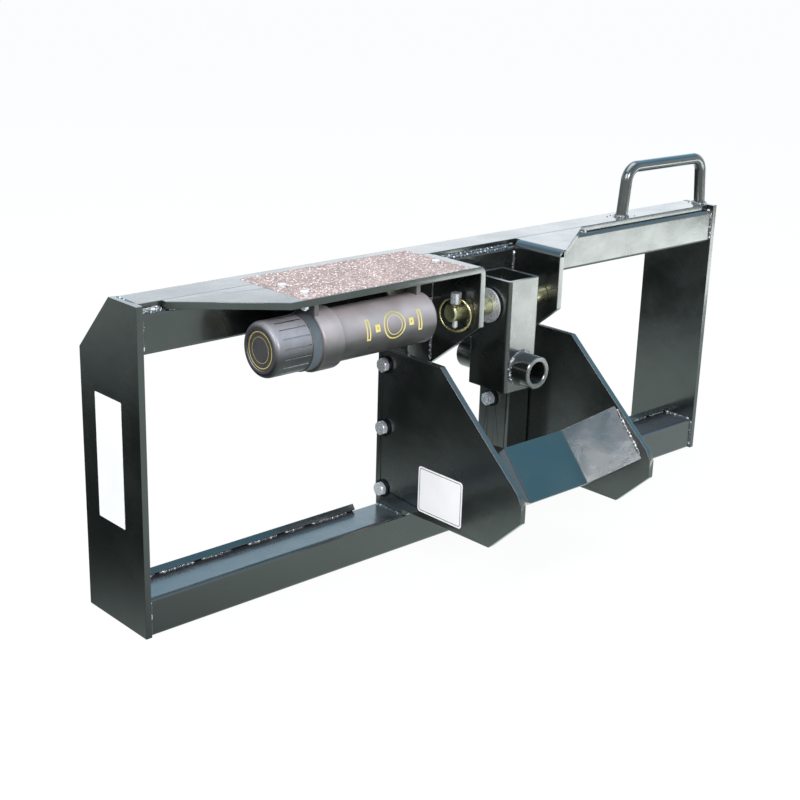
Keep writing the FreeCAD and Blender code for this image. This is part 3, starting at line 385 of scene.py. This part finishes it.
def add_bead(shape, corners, radius, seed, closed=False):
    """Adds a rippled weld bead that runs along the corners, its middle on the joint's root."""
    spots = resample(corners, RING_SPACING)
    total = spots[-1][1]
    if closed:
        spots = spots[:-1]
    rings = []
    count = len(spots)
    for index, (spot, travelled) in enumerate(spots):
        after = spots[(index + 1) % count][0] if closed or index + 1 < count else spot
        before = spots[index - 1][0] if closed or index else spot
        along = (after - before).normalized()
        upright = abs(along.z) > 0.9
        side = along.orthogonal().normalized() if upright else along.cross(UP).normalized()
        above = along.cross(side)
        wave = (travelled / RIPPLE) % 1.0
        drift = noise.noise(Vector((seed * 7.3, travelled * 60, 0)))
        size = radius * (0.86 + 0.20 * wave * wave + 0.22 * drift)
        if not closed:
            ends = min(travelled, total - travelled) / (1.6 * radius)
            size *= math.sqrt(max(0.02, min(1.0, ends)))
        wander = noise.noise(Vector((seed * 3.1, travelled * 35, 5.0))) * 0.12 * radius
        ring = []
        for turn in range(BEAD_SIDES):
            angle = 2 * math.pi * turn / BEAD_SIDES
            rough = 1 + 0.07 * noise.noise(spot * 400 + Vector((angle, seed, 0)))
            reach = size * rough
            ring.append(shape.verts.new(spot + side * (math.cos(angle) * reach + wander)
                                        + above * (math.sin(angle) * reach)))
        rings.append(ring)
    pairs = list(zip(rings, rings[1:]))
    if closed:
        pairs.append((rings[-1], rings[0]))
    else:
        shape.faces.new(rings[0])
        shape.faces.new(reversed(rings[-1]))
    for ring, following in pairs:
        for turn in range(BEAD_SIDES):
            after = (turn + 1) % BEAD_SIDES
            shape.faces.new((ring[turn], following[turn], following[after], ring[after]))


def add_weld(name, runs, radius, body="frame", seed=1, closed=False):
    """One piece for the beads of a joint; runs are lists of corner points."""
    shape = bmesh.new()
    for index, corners in enumerate(runs):
        add_bead(shape, corners, radius, seed + index * 1.7, closed)
    add_piece(name, from_bmesh(name, shape), "weld_paint", body)


def circle(centre, radius, first, second, count=48):
    """Points round a centre, in the plane of two directions; the last one repeats the first."""
    centre, first, second = Vector(centre), Vector(first), Vector(second)
    return [centre + first * (radius * math.cos(2 * math.pi * k / count))
            + second * (radius * math.sin(2 * math.pi * k / count)) for k in range(count + 1)]


def weld_frame():
    """Fillets where the rails, the lip and the latch flanges meet the end plates."""
    for side, name in ((-1, "left"), (1, "right")):
        plate = f"{name}_end_plate"
        face = high(plate).x if side < 0 else low(plate).x
        root = face - side * 0.5 * MM
        runs = []
        for rail in ("top_rail", "bottom_rail"):
            first, last = low(rail), high(rail)
            inset = 3 * MM
            runs.append([(root, first.y, first.z + inset), (root, first.y, last.z - inset)])
            runs.append([(root, first.y + inset, last.z), (root, last.y - inset, last.z)])
            runs.append([(root, last.y, last.z - inset), (root, last.y, first.z + inset)])
        add_weld(f"{name}_rail_welds", runs, 2.6 * MM, seed=2 + side)
        lip = high("hook_lip")
        lip_front = low("hook_lip").y
        bend = high("top_rail").y
        flange = f"{name}_latch_flange"
        add_weld(f"{name}_lip_weld", [
            [(root, lip_front + 4 * MM, lip.z - 1.2 * MM), (root, bend, lip.z - 1.2 * MM)],
            [(root, bend + 6 * MM, lip.z - 7 * MM), (root, lip.y - 5 * MM, low("hook_lip").z + 12 * MM)],
        ], 2.2 * MM, seed=6 + side)
        add_weld(f"{name}_flange_end_weld", [
            [(root, low(flange).y + 2 * MM, high(flange).z - 4 * MM),
             (root, high(flange).y - 6 * MM, low(flange).z + 8 * MM)]], 2.4 * MM, seed=9 + side)


def weld_uprights():
    """Fillets round the uprights' ends, on the rails."""
    for name in ("left_upright", "right_upright"):
        first, last = low(name), high(name)
        runs = []
        for height, tip in ((first.z, 1), (last.z, -1)):
            z = height + tip * 0.4 * MM
            inset = 4 * MM
            runs.append([(first.x + inset, first.y, z), (last.x - inset, first.y, z)])
            runs.append([(first.x, first.y + inset, z), (first.x, last.y - inset, z)])
            runs.append([(last.x, first.y + inset, z), (last.x, last.y - inset, z)])
        add_weld(f"{name}_welds", runs, 2.3 * MM, seed=14)


def weld_step_and_ears():
    """Beads where the step plate, ears and bracket meet the rail and the uprights."""
    rail_front, rail_top = low("top_rail").y, high("top_rail").z
    lip_front = low("hook_lip").y
    ear_in = high("step_plate").x
    ear_out = high("right_ear_bracket").x
    thick = high("left_end_plate").x - low("left_end_plate").x
    step_end = low("step_plate").x
    runs = []
    for side in (-1, 1):
        inner = -side * ear_in
        for x in (inner - side * 0.4 * MM, inner + side * (thick + 0.4 * MM)):
            runs.append([(x, rail_front, rail_top - 6 * MM),
                         (x, rail_front, low("step_plate").z + 5 * MM)])
    add_weld("ear_welds", runs, 2.6 * MM, seed=21)
    add_weld("lip_stitch", [
        [(ear_in + 3 * MM, lip_front - 0.6 * MM, rail_top + 1 * MM),
         (-ear_in - 3 * MM, lip_front - 0.6 * MM, rail_top + 1 * MM)],
        [(ear_in + 3 * MM, lip_front - 7 * MM, rail_top - 0.6 * MM),
         (-ear_in - 12 * MM, lip_front - 7 * MM, rail_top - 0.6 * MM)],
    ], 2.4 * MM, seed=25)
    add_weld("step_end_weld", [
        [(step_end - 1 * MM, lip_front - 2 * MM, rail_top + 1 * MM),
         (low("hook_lip").x + 2 * MM, lip_front - 3 * MM, rail_top + 1 * MM)],
        [(step_end - 2 * MM, rail_front + 3 * MM, rail_top),
         (low("hook_lip").x + 3 * MM, rail_front + 4 * MM, rail_top)]], 3.6 * MM, seed=27)
    add_weld("step_underside_weld", [
        [(step_end + 4 * MM, rail_front - 0.5 * MM, rail_top - 0.5 * MM),
         (step_end + 60 * MM, rail_front - 0.5 * MM, rail_top - 0.5 * MM)],
        [(-ear_in + 16 * MM, rail_front - 0.5 * MM, rail_top - 0.5 * MM),
         (ear_out - 12 * MM, rail_front - 0.5 * MM, rail_top - 0.5 * MM)]], 2.4 * MM, seed=29)
    add_weld("bracket_tip_weld", [
        [(ear_out - 2 * MM, lip_front - 2 * MM, rail_top + 0.5 * MM),
         (ear_out + 14 * MM, lip_front - 1 * MM, rail_top + 0.5 * MM)]], 3.4 * MM, seed=31)


def weld_handle():
    """Lumpy beads round the handle's feet, with a little spatter beside them."""
    handle_low, handle_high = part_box("lift_handle")
    seat = high("hook_lip").z
    bar = (handle_high.y - handle_low.y) / 2
    centre_y = (handle_low.y + handle_high.y) / 2
    feet = (handle_low.x + bar, handle_high.x - bar)
    shape = bmesh.new()
    for index, x in enumerate(feet):
        ring = circle((x, centre_y, seat + 0.6 * MM), bar + 0.6 * MM, (1, 0, 0), (0, 1, 0))
        add_bead(shape, ring, 3.0 * MM, 40 + index, closed=True)
    outer = high("right_end_plate").x
    for vert in shape.verts:
        vert.co.x = min(vert.co.x, outer)
    for index in range(26):
        foot = feet[index % 2]
        angle = random.uniform(0, 2 * math.pi)
        reach = bar + random.uniform(5, 18) * MM
        spot = Vector((foot + reach * math.cos(angle), centre_y + 0.8 * reach * math.sin(angle), seat))
        if spot.x > low("right_end_plate").x - 1 * MM:
            continue
        bmesh.ops.create_icosphere(shape, subdivisions=1, radius=random.uniform(0.6, 1.5) * MM,
                                   matrix=Matrix.Translation(spot))
    add_piece("handle_welds", from_bmesh("handle_welds", shape), "weld_paint", "frame")


# stitches along a latch flange: where each starts and stops, in mm from the end plate
STITCHES = ((3, 46), (53, 111), (121, 173), (199, 253), (265, 303), (315, 383))


def weld_flanges():
    """Stitches along the bottom rail's rear top corner, beside the latch flanges."""
    rail_back, rail_top = high("bottom_rail").y, high("bottom_rail").z
    for side, name in ((-1, "left_latch_flange"), (1, "right_latch_flange")):
        first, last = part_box(name)
        outer = first.x if side < 0 else last.x
        runs = []
        for start, stop in STITCHES:
            a, b = outer - side * start * MM, outer - side * stop * MM
            runs.append([(a, rail_back - 3.5 * MM, rail_top - 0.2 * MM),
                         (b, rail_back - 3.5 * MM, rail_top - 0.2 * MM)])
        add_weld(f"{name}_stitches", runs, 3.6 * MM, seed=50 + side)


def weld_swing():
    """Beads round the pivot boss, front and back, and round the hinge bushing."""
    tube_low, tube_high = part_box("swing_tube")
    boss = middle("pivot_boss")
    boss_radius = (high("pivot_boss").x - low("pivot_boss").x) / 2
    bushing = middle("hinge_bushing")
    bushing_radius = (high("hinge_bushing").z - low("hinge_bushing").z) / 2
    rings = [circle((boss.x, y, boss.z), boss_radius + 0.4 * MM, (1, 0, 0), (0, 0, 1), 60)
             for y in (tube_low.y, tube_high.y)]
    add_weld("boss_welds", rings, 3.0 * MM, "swing", seed=61, closed=True)
    rings = [circle((x, bushing.y, bushing.z), bushing_radius, (0, 1, 0), (0, 0, 1), 60)
             for x in (tube_low.x, tube_high.x)]
    add_weld("bushing_welds", rings, 1.9 * MM, "swing", seed=63, closed=True)


def weld_cradle():
    """Beads along both side edges of the trough's rear wing."""
    first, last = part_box("cradle_trough")
    reach = 5 * MM
    plate_in = low("right_cradle_plate").x
    along = Vector((0, math.cos(TROUGH_SLOPE), math.sin(TROUGH_SLOPE)))
    for side, name in ((-1, "left"), (1, "right")):
        wing = Vector((side * (plate_in - 0.4 * MM), first.y + 0.6 * MM, 0))
        wing.z = last.z - along.z * TROUGH_WING - 0.3 * MM
        add_weld(f"{name}_trough_weld",
                 [[wing + along * reach, wing + along * (TROUGH_WING - reach)]], 2.4 * MM, seed=70 + side)


# ---------------------------------------------------------------- fasteners

def turned_hexagon(shape, centre, axis, across, thickness, chamfer):
    """Hexagon prism with its corners turned off in cones."""
    axis = Vector(axis).normalized()
    first = Vector((0, 0, 1)) if abs(axis.z) < 0.5 else Vector((0, 1, 0))
    second = axis.cross(first)
    centre = Vector(centre)
    flat = across / 2
    per_side = 6
    count = 6 * per_side
    rings = []
    for height in (0.0, chamfer, thickness - chamfer, thickness):
        edge = height in (0.0, thickness)
        ring = []
        for k in range(count):
            angle = 2 * math.pi * k / count
            within = (angle % (math.pi / 3)) - math.pi / 6
            reach = flat / math.cos(within)
            if edge:
                reach = min(reach, flat * 0.985)
            drop = 0.0
            if not edge:
                lift = (reach - flat) * 0.55
                drop = -lift if height > thickness / 2 else lift
            spot = centre + axis * (height + drop) \
                + first * (reach * math.cos(angle)) + second * (reach * math.sin(angle))
            ring.append(shape.verts.new(spot))
        rings.append(ring)
    for ring, following in zip(rings, rings[1:]):
        for k in range(count):
            after = (k + 1) % count
            shape.faces.new((ring[k], ring[after], following[after], following[k]))
    shape.faces.new(list(reversed(rings[0])))
    shape.faces.new(rings[-1])


def threaded_end(shape, start, axis, radius, length, pitch):
    """Rod with rolled thread rings and a chamfered point."""
    axis = Vector(axis).normalized()
    first = Vector((0, 0, 1)) if abs(axis.z) < 0.5 else Vector((0, 1, 0))
    second = axis.cross(first)
    start = Vector(start)
    sides = 28
    turns = int(length / pitch)
    profile = [(0.0, radius * 0.88)]
    for turn in range(turns):
        profile += [((turn + 0.5) * pitch, radius), ((turn + 1.0) * pitch, radius * 0.88)]
    profile.append((length, radius * 0.72))
    rings = []
    for height, reach in profile:
        rings.append([shape.verts.new(start + axis * height
                                      + first * (reach * math.cos(2 * math.pi * k / sides))
                                      + second * (reach * math.sin(2 * math.pi * k / sides)))
                      for k in range(sides)])
    for ring, following in zip(rings, rings[1:]):
        for k in range(sides):
            after = (k + 1) % sides
            shape.faces.new((ring[k], ring[after], following[after], following[k]))
    shape.faces.new(list(reversed(rings[0])))
    shape.faces.new(rings[-1])


def solid_boxes(node):
    """The low and high corner of each separate solid of a node, in a fixed order."""
    mesh = NODES[node].data
    shape = bmesh.new()
    shape.from_mesh(mesh)
    bmesh.ops.remove_doubles(shape, verts=shape.verts, dist=0.01 * MM)
    left = set(shape.verts)
    boxes = []
    while left:
        island, queue = set(), [left.pop()]
        while queue:
            here = queue.pop()
            island.add(here)
            for edge in here.link_edges:
                other = edge.other_vert(here)
                if other in left:
                    left.discard(other)
                    queue.append(other)
        lowest = Vector([min(v.co[i] for v in island) for i in range(3)])
        highest = Vector([max(v.co[i] for v in island) for i in range(3)])
        boxes.append((lowest, highest))
    shape.free()
    boxes.sort(key=lambda pair: (round(pair[0].x, 3), round(pair[0].z, 3), round(pair[0].y, 3)))
    return boxes


def make_bolts():
    """Hexagon bolts with chamfered heads and threaded ends, and their nuts."""
    bolts, nuts = bmesh.new(), bmesh.new()
    washer_boxes = solid_boxes("cradle_washers")
    washer_thick = washer_boxes[0][1].x - washer_boxes[0][0].x
    nut_boxes = solid_boxes("cradle_nuts")
    for first, last in solid_boxes("cradle_bolts"):
        centre = (first + last) / 2
        side = 1 if centre.x > 0 else -1
        head_out = last.x if side > 0 else first.x
        tip = first.x if side > 0 else last.x
        seat = side * (high("right_cradle_plate").x + washer_thick)
        flats = (last.y - first.y) * math.cos(math.pi / 6)
        place = Vector((seat, centre.y, centre.z))
        turned_hexagon(bolts, place, (side, 0, 0), flats, abs(head_out - seat), 0.8 * MM)
        same_side = [pair for pair in nut_boxes if (pair[0].x > 0) == (side > 0)]
        nut = min(same_side, key=lambda pair: ((pair[0] + pair[1]) / 2 - centre).yz.length)
        outer = nut[0].x if side > 0 else nut[1].x
        inner = nut[1].x if side > 0 else nut[0].x
        turned_hexagon(nuts, (inner, centre.y, centre.z), (-side, 0, 0), flats,
                       abs(outer - inner), 0.8 * MM)
        threaded_end(bolts, (outer, centre.y, centre.z), (-side, 0, 0), THREAD_RADIUS,
                     abs(tip - outer), THREAD_PITCH)
    bolt = add_piece("bolt_set", from_bmesh("bolt_set", bolts, smooth=False), "zinc", "frame")
    nut = add_piece("nut_set", from_bmesh("nut_set", nuts, smooth=False), "zinc", "frame")
    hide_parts("cradle_bolts")
    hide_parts("cradle_nuts")


# ---------------------------------------------------------------- grip tape, labels and prints

def make_grip_tape():
    """Sheet of coarse grit: a fine grid whose grains stand up at random, cut round the screws."""
    first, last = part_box("grip_tape")
    step = 1.5 * MM
    columns, rows = int((last.x - first.x) / step), int((last.y - first.y) / step)
    top = last.z
    screws = [((a + b) / 2, (b.x - a.x) / 2) for a, b in solid_boxes("tube_screws")]
    corner = 6 * MM
    shape = bmesh.new()
    grid = []
    for row in range(rows + 1):
        line = []
        for column in range(columns + 1):
            x = first.x + (last.x - first.x) * column / columns
            y = first.y + (last.y - first.y) * row / rows
            edge = row in (0, rows) or column in (0, columns)
            jitter = 0 if edge else 0.35 * step
            x += random.uniform(-jitter, jitter)
            y += random.uniform(-jitter, jitter)
            dx = max(first.x + corner - x, x - last.x + corner, 0)
            dy = max(first.y + corner - y, y - last.y + corner, 0)
            over = math.hypot(dx, dy)
            if over > corner:
                x -= math.copysign(dx * (1 - corner / over), x - (first.x + last.x) / 2)
                y -= math.copysign(dy * (1 - corner / over), y - (first.y + last.y) / 2)
            height = first.z + 0.15 * MM if edge else top - random.uniform(0, 0.75) * MM
            line.append(shape.verts.new((x, y, height)))
        grid.append(line)
    for row in range(rows):
        for column in range(columns):
            corners = (grid[row][column], grid[row][column + 1],
                       grid[row + 1][column + 1], grid[row + 1][column])
            centre = sum((vert.co for vert in corners), Vector()) / 4
            if all((centre - spot).xy.length > size + 0.7 * MM for spot, size in screws):
                shape.faces.new(corners)
    rim = [edge for edge in shape.edges if len(edge.link_faces) == 1]
    raised = bmesh.ops.extrude_edge_only(shape, edges=rim)
    for item in raised["geom"]:
        if isinstance(item, bmesh.types.BMVert):
            item.co.z = first.z
    loose = [vert for vert in shape.verts if not vert.link_faces]
    bmesh.ops.delete(shape, geom=loose, context="VERTS")
    tape = add_piece("grit_sheet", from_bmesh("grit_sheet", shape, smooth=False), "grip_tape",
                     "frame")
    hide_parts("grip_tape")


def rounded_outline(width, height, radius, per_corner=6):
    """Corner-rounded rectangle round the origin, as pairs."""
    points = []
    for index, (sx, sy) in enumerate(((1, 1), (-1, 1), (-1, -1), (1, -1))):
        for k in range(per_corner + 1):
            angle = math.pi / 2 * (index + k / per_corner)
            points.append((sx * (width / 2 - radius) + radius * math.cos(angle),
                           sy * (height / 2 - radius) + radius * math.sin(angle)))
    return points


def add_sticker(name, place, across, above, outline, thickness, finish, hole=None):
    """Thin film with a given outline, lying on the plane of two directions at place."""
    across, above, place = Vector(across), Vector(above), Vector(place)
    out = across.cross(above).normalized()
    shape = bmesh.new()
    top = [shape.verts.new(place + across * a + above * b + out * thickness) for a, b in outline]
    foot = [shape.verts.new(place + across * a + above * b) for a, b in outline]
    count = len(outline)
    if hole is None:
        shape.faces.new(top)
    else:
        inner = [shape.verts.new(place + across * a + above * b + out * thickness) for a, b in hole]
        inner_foot = [shape.verts.new(place + across * a + above * b) for a, b in hole]
        for k in range(count):
            after = (k + 1) % count
            shape.faces.new((top[k], top[after], inner[after], inner[k]))
            shape.faces.new((inner[k], inner[after], inner_foot[after], inner_foot[k]))
    for k in range(count):
        after = (k + 1) % count
        shape.faces.new((foot[k], foot[after], top[after], top[k]))
    return add_piece(name, from_bmesh(name, shape, smooth=False), finish, "frame")


def make_labels():
    """Blank labels: a tall one on the left end plate, and one on the left cradle plate."""
    film = 0.15 * MM
    forward = Vector((0, -1, 0))
    plate = low("left_end_plate")
    place = Vector((plate.x, plate.y + 73 * MM, 227 * MM))
    add_sticker("end_plate_label", place, forward, UP,
                rounded_outline(62 * MM, 172 * MM, 1.0 * MM), film, "label_film")
    plate = low("left_cradle_plate")
    width, height = 90 * MM, 70 * MM
    place = Vector((plate.x, plate.y + 156.5 * MM, 114 * MM))
    add_sticker("cradle_label", place, forward, UP,
                rounded_outline(width, height, 5 * MM), film, "label_film")
    place = place - Vector((film, 0, 0))
    add_sticker("cradle_label_border", place, forward, UP,
                rounded_outline(width - 5 * MM, height - 5 * MM, 3.5 * MM), 0.04 * MM, "label_ink",
                hole=rounded_outline(width - 7 * MM, height - 7 * MM, 2.6 * MM))


def wrap_on_tube(pairs, axis_place, radius, lift):
    """Points on the document tube's wall from (along, round) pairs."""
    spots = []
    for along, angle in pairs:
        spots.append((along, axis_place.y - (radius + lift) * math.cos(angle),
                      axis_place.z + (radius + lift) * math.sin(angle)))
    return spots


def make_prints():
    """Plain gold print: two rings wrapped on the tube, with a square and a bar on either side, and
    two rings on the cap's end."""
    centre = middle("document_tube_cap")
    radius = TUBE_RADIUS
    lift = 0.12 * MM
    shape = bmesh.new()
    mid_x, mid_angle = -0.236, math.radians(14)

    def strip(inner, outer, closed):
        """Band between two equal lists of (along, round) pairs, standing just off the wall."""
        rows = [[shape.verts.new(spot) for spot in wrap_on_tube(line, centre, radius, rise)]
                for line, rise in ((inner, 0.0), (inner, lift), (outer, lift), (outer, 0.0))]
        count = len(inner)
        for k in range(count if closed else count - 1):
            after = (k + 1) % count
            for row in range(4 if closed else 3):
                below = rows[(row + 1) % 4]
                shape.faces.new((rows[row][k], rows[row][after], below[after], below[k]))

    def ring_pairs(size, count=72):
        return [(mid_x + size * math.cos(2 * math.pi * k / count),
                 mid_angle + size * math.sin(2 * math.pi * k / count) / radius)
                for k in range(count)]

    def box_pairs(x, half_width, half_height):
        corners = [(x - half_width, -half_height), (x + half_width, -half_height),
                   (x + half_width, half_height), (x - half_width, half_height)]
        pairs = []
        for (ax, ah), (bx, bh) in zip(corners, corners[1:] + corners[:1]):
            pairs += [(ax + (bx - ax) * k / 8, mid_angle + (ah + (bh - ah) * k / 8) / radius)
                      for k in range(8)]
        return pairs

    strip(ring_pairs(17.4 * MM), ring_pairs(19.2 * MM), True)
    strip(ring_pairs(12.6 * MM), ring_pairs(13.6 * MM), True)
    for side in (-1, 1):
        x = mid_x + side * 30 * MM
        strip(box_pairs(x, 1.0 * MM, 1.6 * MM), box_pairs(x, 4.0 * MM, 5.0 * MM), True)
        x = mid_x + side * 46 * MM
        strip(box_pairs(x, 1.6 * MM, 12.0 * MM), box_pairs(x, 3.4 * MM, 14.4 * MM), True)
    add_piece("tube_print", from_bmesh("tube_print", shape, smooth=False), "gold_print", "frame")
    shape = bmesh.new()
    face = low("document_tube_cap").x + CAP_RECESS
    for inner, outer in ((23.2, 24.4), (16.8, 17.3)):
        rows = []
        for reach, out in ((inner, 0.0), (inner, 0.12), (outer, 0.12), (outer, 0.0)):
            rows.append([shape.verts.new(spot) for spot in circle(
                (face - out * MM, centre.y, centre.z), reach * MM, (0, 1, 0), (0, 0, 1), 72)[:-1]])
        for row in range(4):
            below = rows[(row + 1) % 4]
            for k in range(72):
                after = (k + 1) % 72
                shape.faces.new((rows[row][k], rows[row][after], below[after], below[k]))
    add_piece("cap_print", from_bmesh("cap_print", shape, smooth=False), "gold_print", "cap")


def make_band():
    """Smooth grey band round the tube's mouth, between the cap and the collar."""
    place = middle("document_tube_cap")
    rim = high("document_tube_cap").x
    start, end = rim + 0.6 * MM, rim + 15.0 * MM
    inner, outer = MOUTH_RADIUS - 0.1 * MM, MOUTH_RADIUS + 0.25 * MM
    shape = bmesh.new()
    rows = [[shape.verts.new(spot) for spot in circle((x, place.y, place.z), reach,
                                                     (0, 1, 0), (0, 0, 1), 96)[:-1]]
            for x, reach in ((start, inner), (start, outer), (end, outer), (end, inner))]
    for row in range(4):
        below = rows[(row + 1) % 4]
        for k in range(96):
            after = (k + 1) % 96
            shape.faces.new((rows[row][k], rows[row][after], below[after], below[k]))
    add_piece("mouth_band", from_bmesh("mouth_band", shape, smooth=False), "band_plastic",
              "frame")


# ---------------------------------------------------------------- stage, lights and camera

def stage_material():
    """Pale floor: white to the camera with the object's shadow kept. Reflections see it bright at
    the front right, dark close behind the object at the left, and lighter again further off."""
    shader = Shader("stage_white")
    rays = shader.node("ShaderNodeLightPath").outputs
    shader.colour(shader.mix(rays["Is Camera Ray"], grey(0.34), grey(0.86)))
    shader.set(Roughness=0.9, Specular_IOR_Level=0.1)
    across = shader.math("SUBTRACT", shader.axis("X"), shader.axis("Y"))
    near = shader.ramp(across, -1.1, -0.1, 0.03, 0.80)
    far = shader.ramp(across, -3.2, -1.6, 0.42, 0.0)
    mirrored = shader.math("ADD", near, far)
    glow = shader.math("MAXIMUM", mirrored, rays["Is Camera Ray"])
    light = shader.node("ShaderNodeEmission")
    shader.link(glow, light.inputs["Strength"])
    shader.link(shader.mix(rays["Is Camera Ray"], (0.84, 1.0, 0.96, 1), (1, 1, 1, 1)),
                light.inputs["Color"])
    straight = shader.math("MULTIPLY", rays["Is Camera Ray"], 0.94)
    seen = shader.math("MAXIMUM", straight, rays["Is Glossy Ray"])
    seen = shader.math("MAXIMUM", seen, rays["Is Transmission Ray"])
    blend = shader.node("ShaderNodeMixShader")
    shader.link(seen, blend.inputs[0])
    shader.link(shader.bsdf.outputs[0], blend.inputs[1])
    shader.link(light.outputs[0], blend.inputs[2])
    shader.link(blend.outputs[0], shader.output.inputs["Surface"])
    return shader.material


def make_stage():
    """A level floor that reaches past the picture on all sides."""
    half = 60.0
    mesh = bpy.data.meshes.new("floor")
    mesh.from_pydata([(-half, -half, 0), (half, -half, 0), (half, half, 0), (-half, half, 0)],
                     [], [(0, 1, 2, 3)])
    mesh.materials.append(stage_material())
    add_object("floor", mesh)


def make_world():
    """White to the camera; to everything else pale at the horizon and blue higher up."""
    world = bpy.data.worlds.new("studio")
    bpy.context.scene.world = world
    world.use_nodes = True
    tree = world.node_tree
    tree.nodes.clear()
    place = tree.nodes.new("ShaderNodeTexCoord")
    split = tree.nodes.new("ShaderNodeSeparateXYZ")
    tree.links.new(place.outputs["Generated"], split.inputs[0])
    ramp = tree.nodes.new("ShaderNodeValToRGB")
    ramp.color_ramp.elements[0].position = 0.30
    ramp.color_ramp.elements[0].color = (0.90, 0.95, 1.0, 1)
    ramp.color_ramp.elements[1].position = 0.55
    ramp.color_ramp.elements[1].color = (0.20, 0.70, 1.0, 1)
    overhead = ramp.color_ramp.elements.new(0.9)
    overhead.color = (0.75, 0.80, 0.92, 1)
    tree.links.new(split.outputs["Z"], ramp.inputs[0])
    rays = tree.nodes.new("ShaderNodeLightPath")
    mix = tree.nodes.new("ShaderNodeMix")
    mix.data_type = "RGBA"
    mix.inputs["B"].default_value = (1, 1, 1, 1)
    tree.links.new(rays.outputs["Is Camera Ray"], mix.inputs["Factor"])
    tree.links.new(ramp.outputs[0], mix.inputs["A"])
    back = tree.nodes.new("ShaderNodeBackground")
    back.inputs["Strength"].default_value = 1.0
    tree.links.new(mix.outputs["Result"], back.inputs["Color"])
    out = tree.nodes.new("ShaderNodeOutputWorld")
    tree.links.new(back.outputs[0], out.inputs[0])


def add_lamp(name, place, target, size, power, colour):
    """Soft rectangular lamp that the camera doesn't see."""
    data = bpy.data.lights.new(name, "AREA")
    data.shape = "RECTANGLE"
    data.size, data.size_y = size
    data.energy = power
    data.color = colour
    lamp = bpy.data.objects.new(name, data)
    bpy.context.scene.collection.objects.link(lamp)
    lamp.visible_camera = False
    lamp.location = place
    lamp.rotation_euler = (Vector(target) - Vector(place)).to_track_quat("-Z", "Y").to_euler()


def make_camera():
    """Three-quarter view from the front left, a little above, turned very slightly."""
    azimuth, elevation, roll = (math.radians(a) for a in (-42.863, 18.487, 1.7247))
    back = Vector((math.sin(azimuth) * math.cos(elevation),
                   -math.cos(azimuth) * math.cos(elevation), math.sin(elevation)))
    right = (-back).cross(UP).normalized()
    up = right.cross(-back)
    across = right * math.cos(roll) + up * math.sin(roll)
    above = up * math.cos(roll) - right * math.sin(roll)
    data = bpy.data.cameras.new("camera")
    data.sensor_width = 36.0
    data.lens = 63.92
    camera = bpy.data.objects.new("camera", data)
    bpy.context.scene.collection.objects.link(camera)
    place = Vector((-1.46834, -1.37145, 0.88812))
    camera.matrix_world = Matrix.Translation(place) @ Matrix(
        (across, above, back)).transposed().to_4x4()
    bpy.context.scene.camera = camera


random.seed(4)
dress_frame()
weld_frame()
weld_uprights()
weld_step_and_ears()
weld_handle()
weld_flanges()
weld_swing()
weld_cradle()
make_bolts()
make_grip_tape()
make_labels()
make_prints()
make_band()
make_stage()
make_world()
add_lamp("low_right", (1.45, -1.0, 0.03), (1.45, -1.0, 1.0), (1.5, 0.9), 18, (0.95, 1.0, 0.98))
add_lamp("back_panel", (3.0, 3.1, 1.3), (0.0, 0.0, 0.4), (5.0, 0.8), 6, (0.93, 0.98, 1.0))
add_lamp("left_fill", (-2.2, -0.5, 1.8), (-0.2, 0.0, 0.2), (1.2, 1.2), 40, (1.0, 0.92, 0.85))
add_lamp("front_fill", (-0.9, -2.2, 1.5), (-0.25, 0.0, 0.37), (1.0, 0.7), 42, (1.0, 0.95, 0.93))
add_lamp("top", (0.0, 0.4, 3.0), (0, 0, 0), (3, 2), 60, (1.0, 0.97, 0.94))
make_camera()
bpy.context.scene.view_settings.view_transform = "Standard"
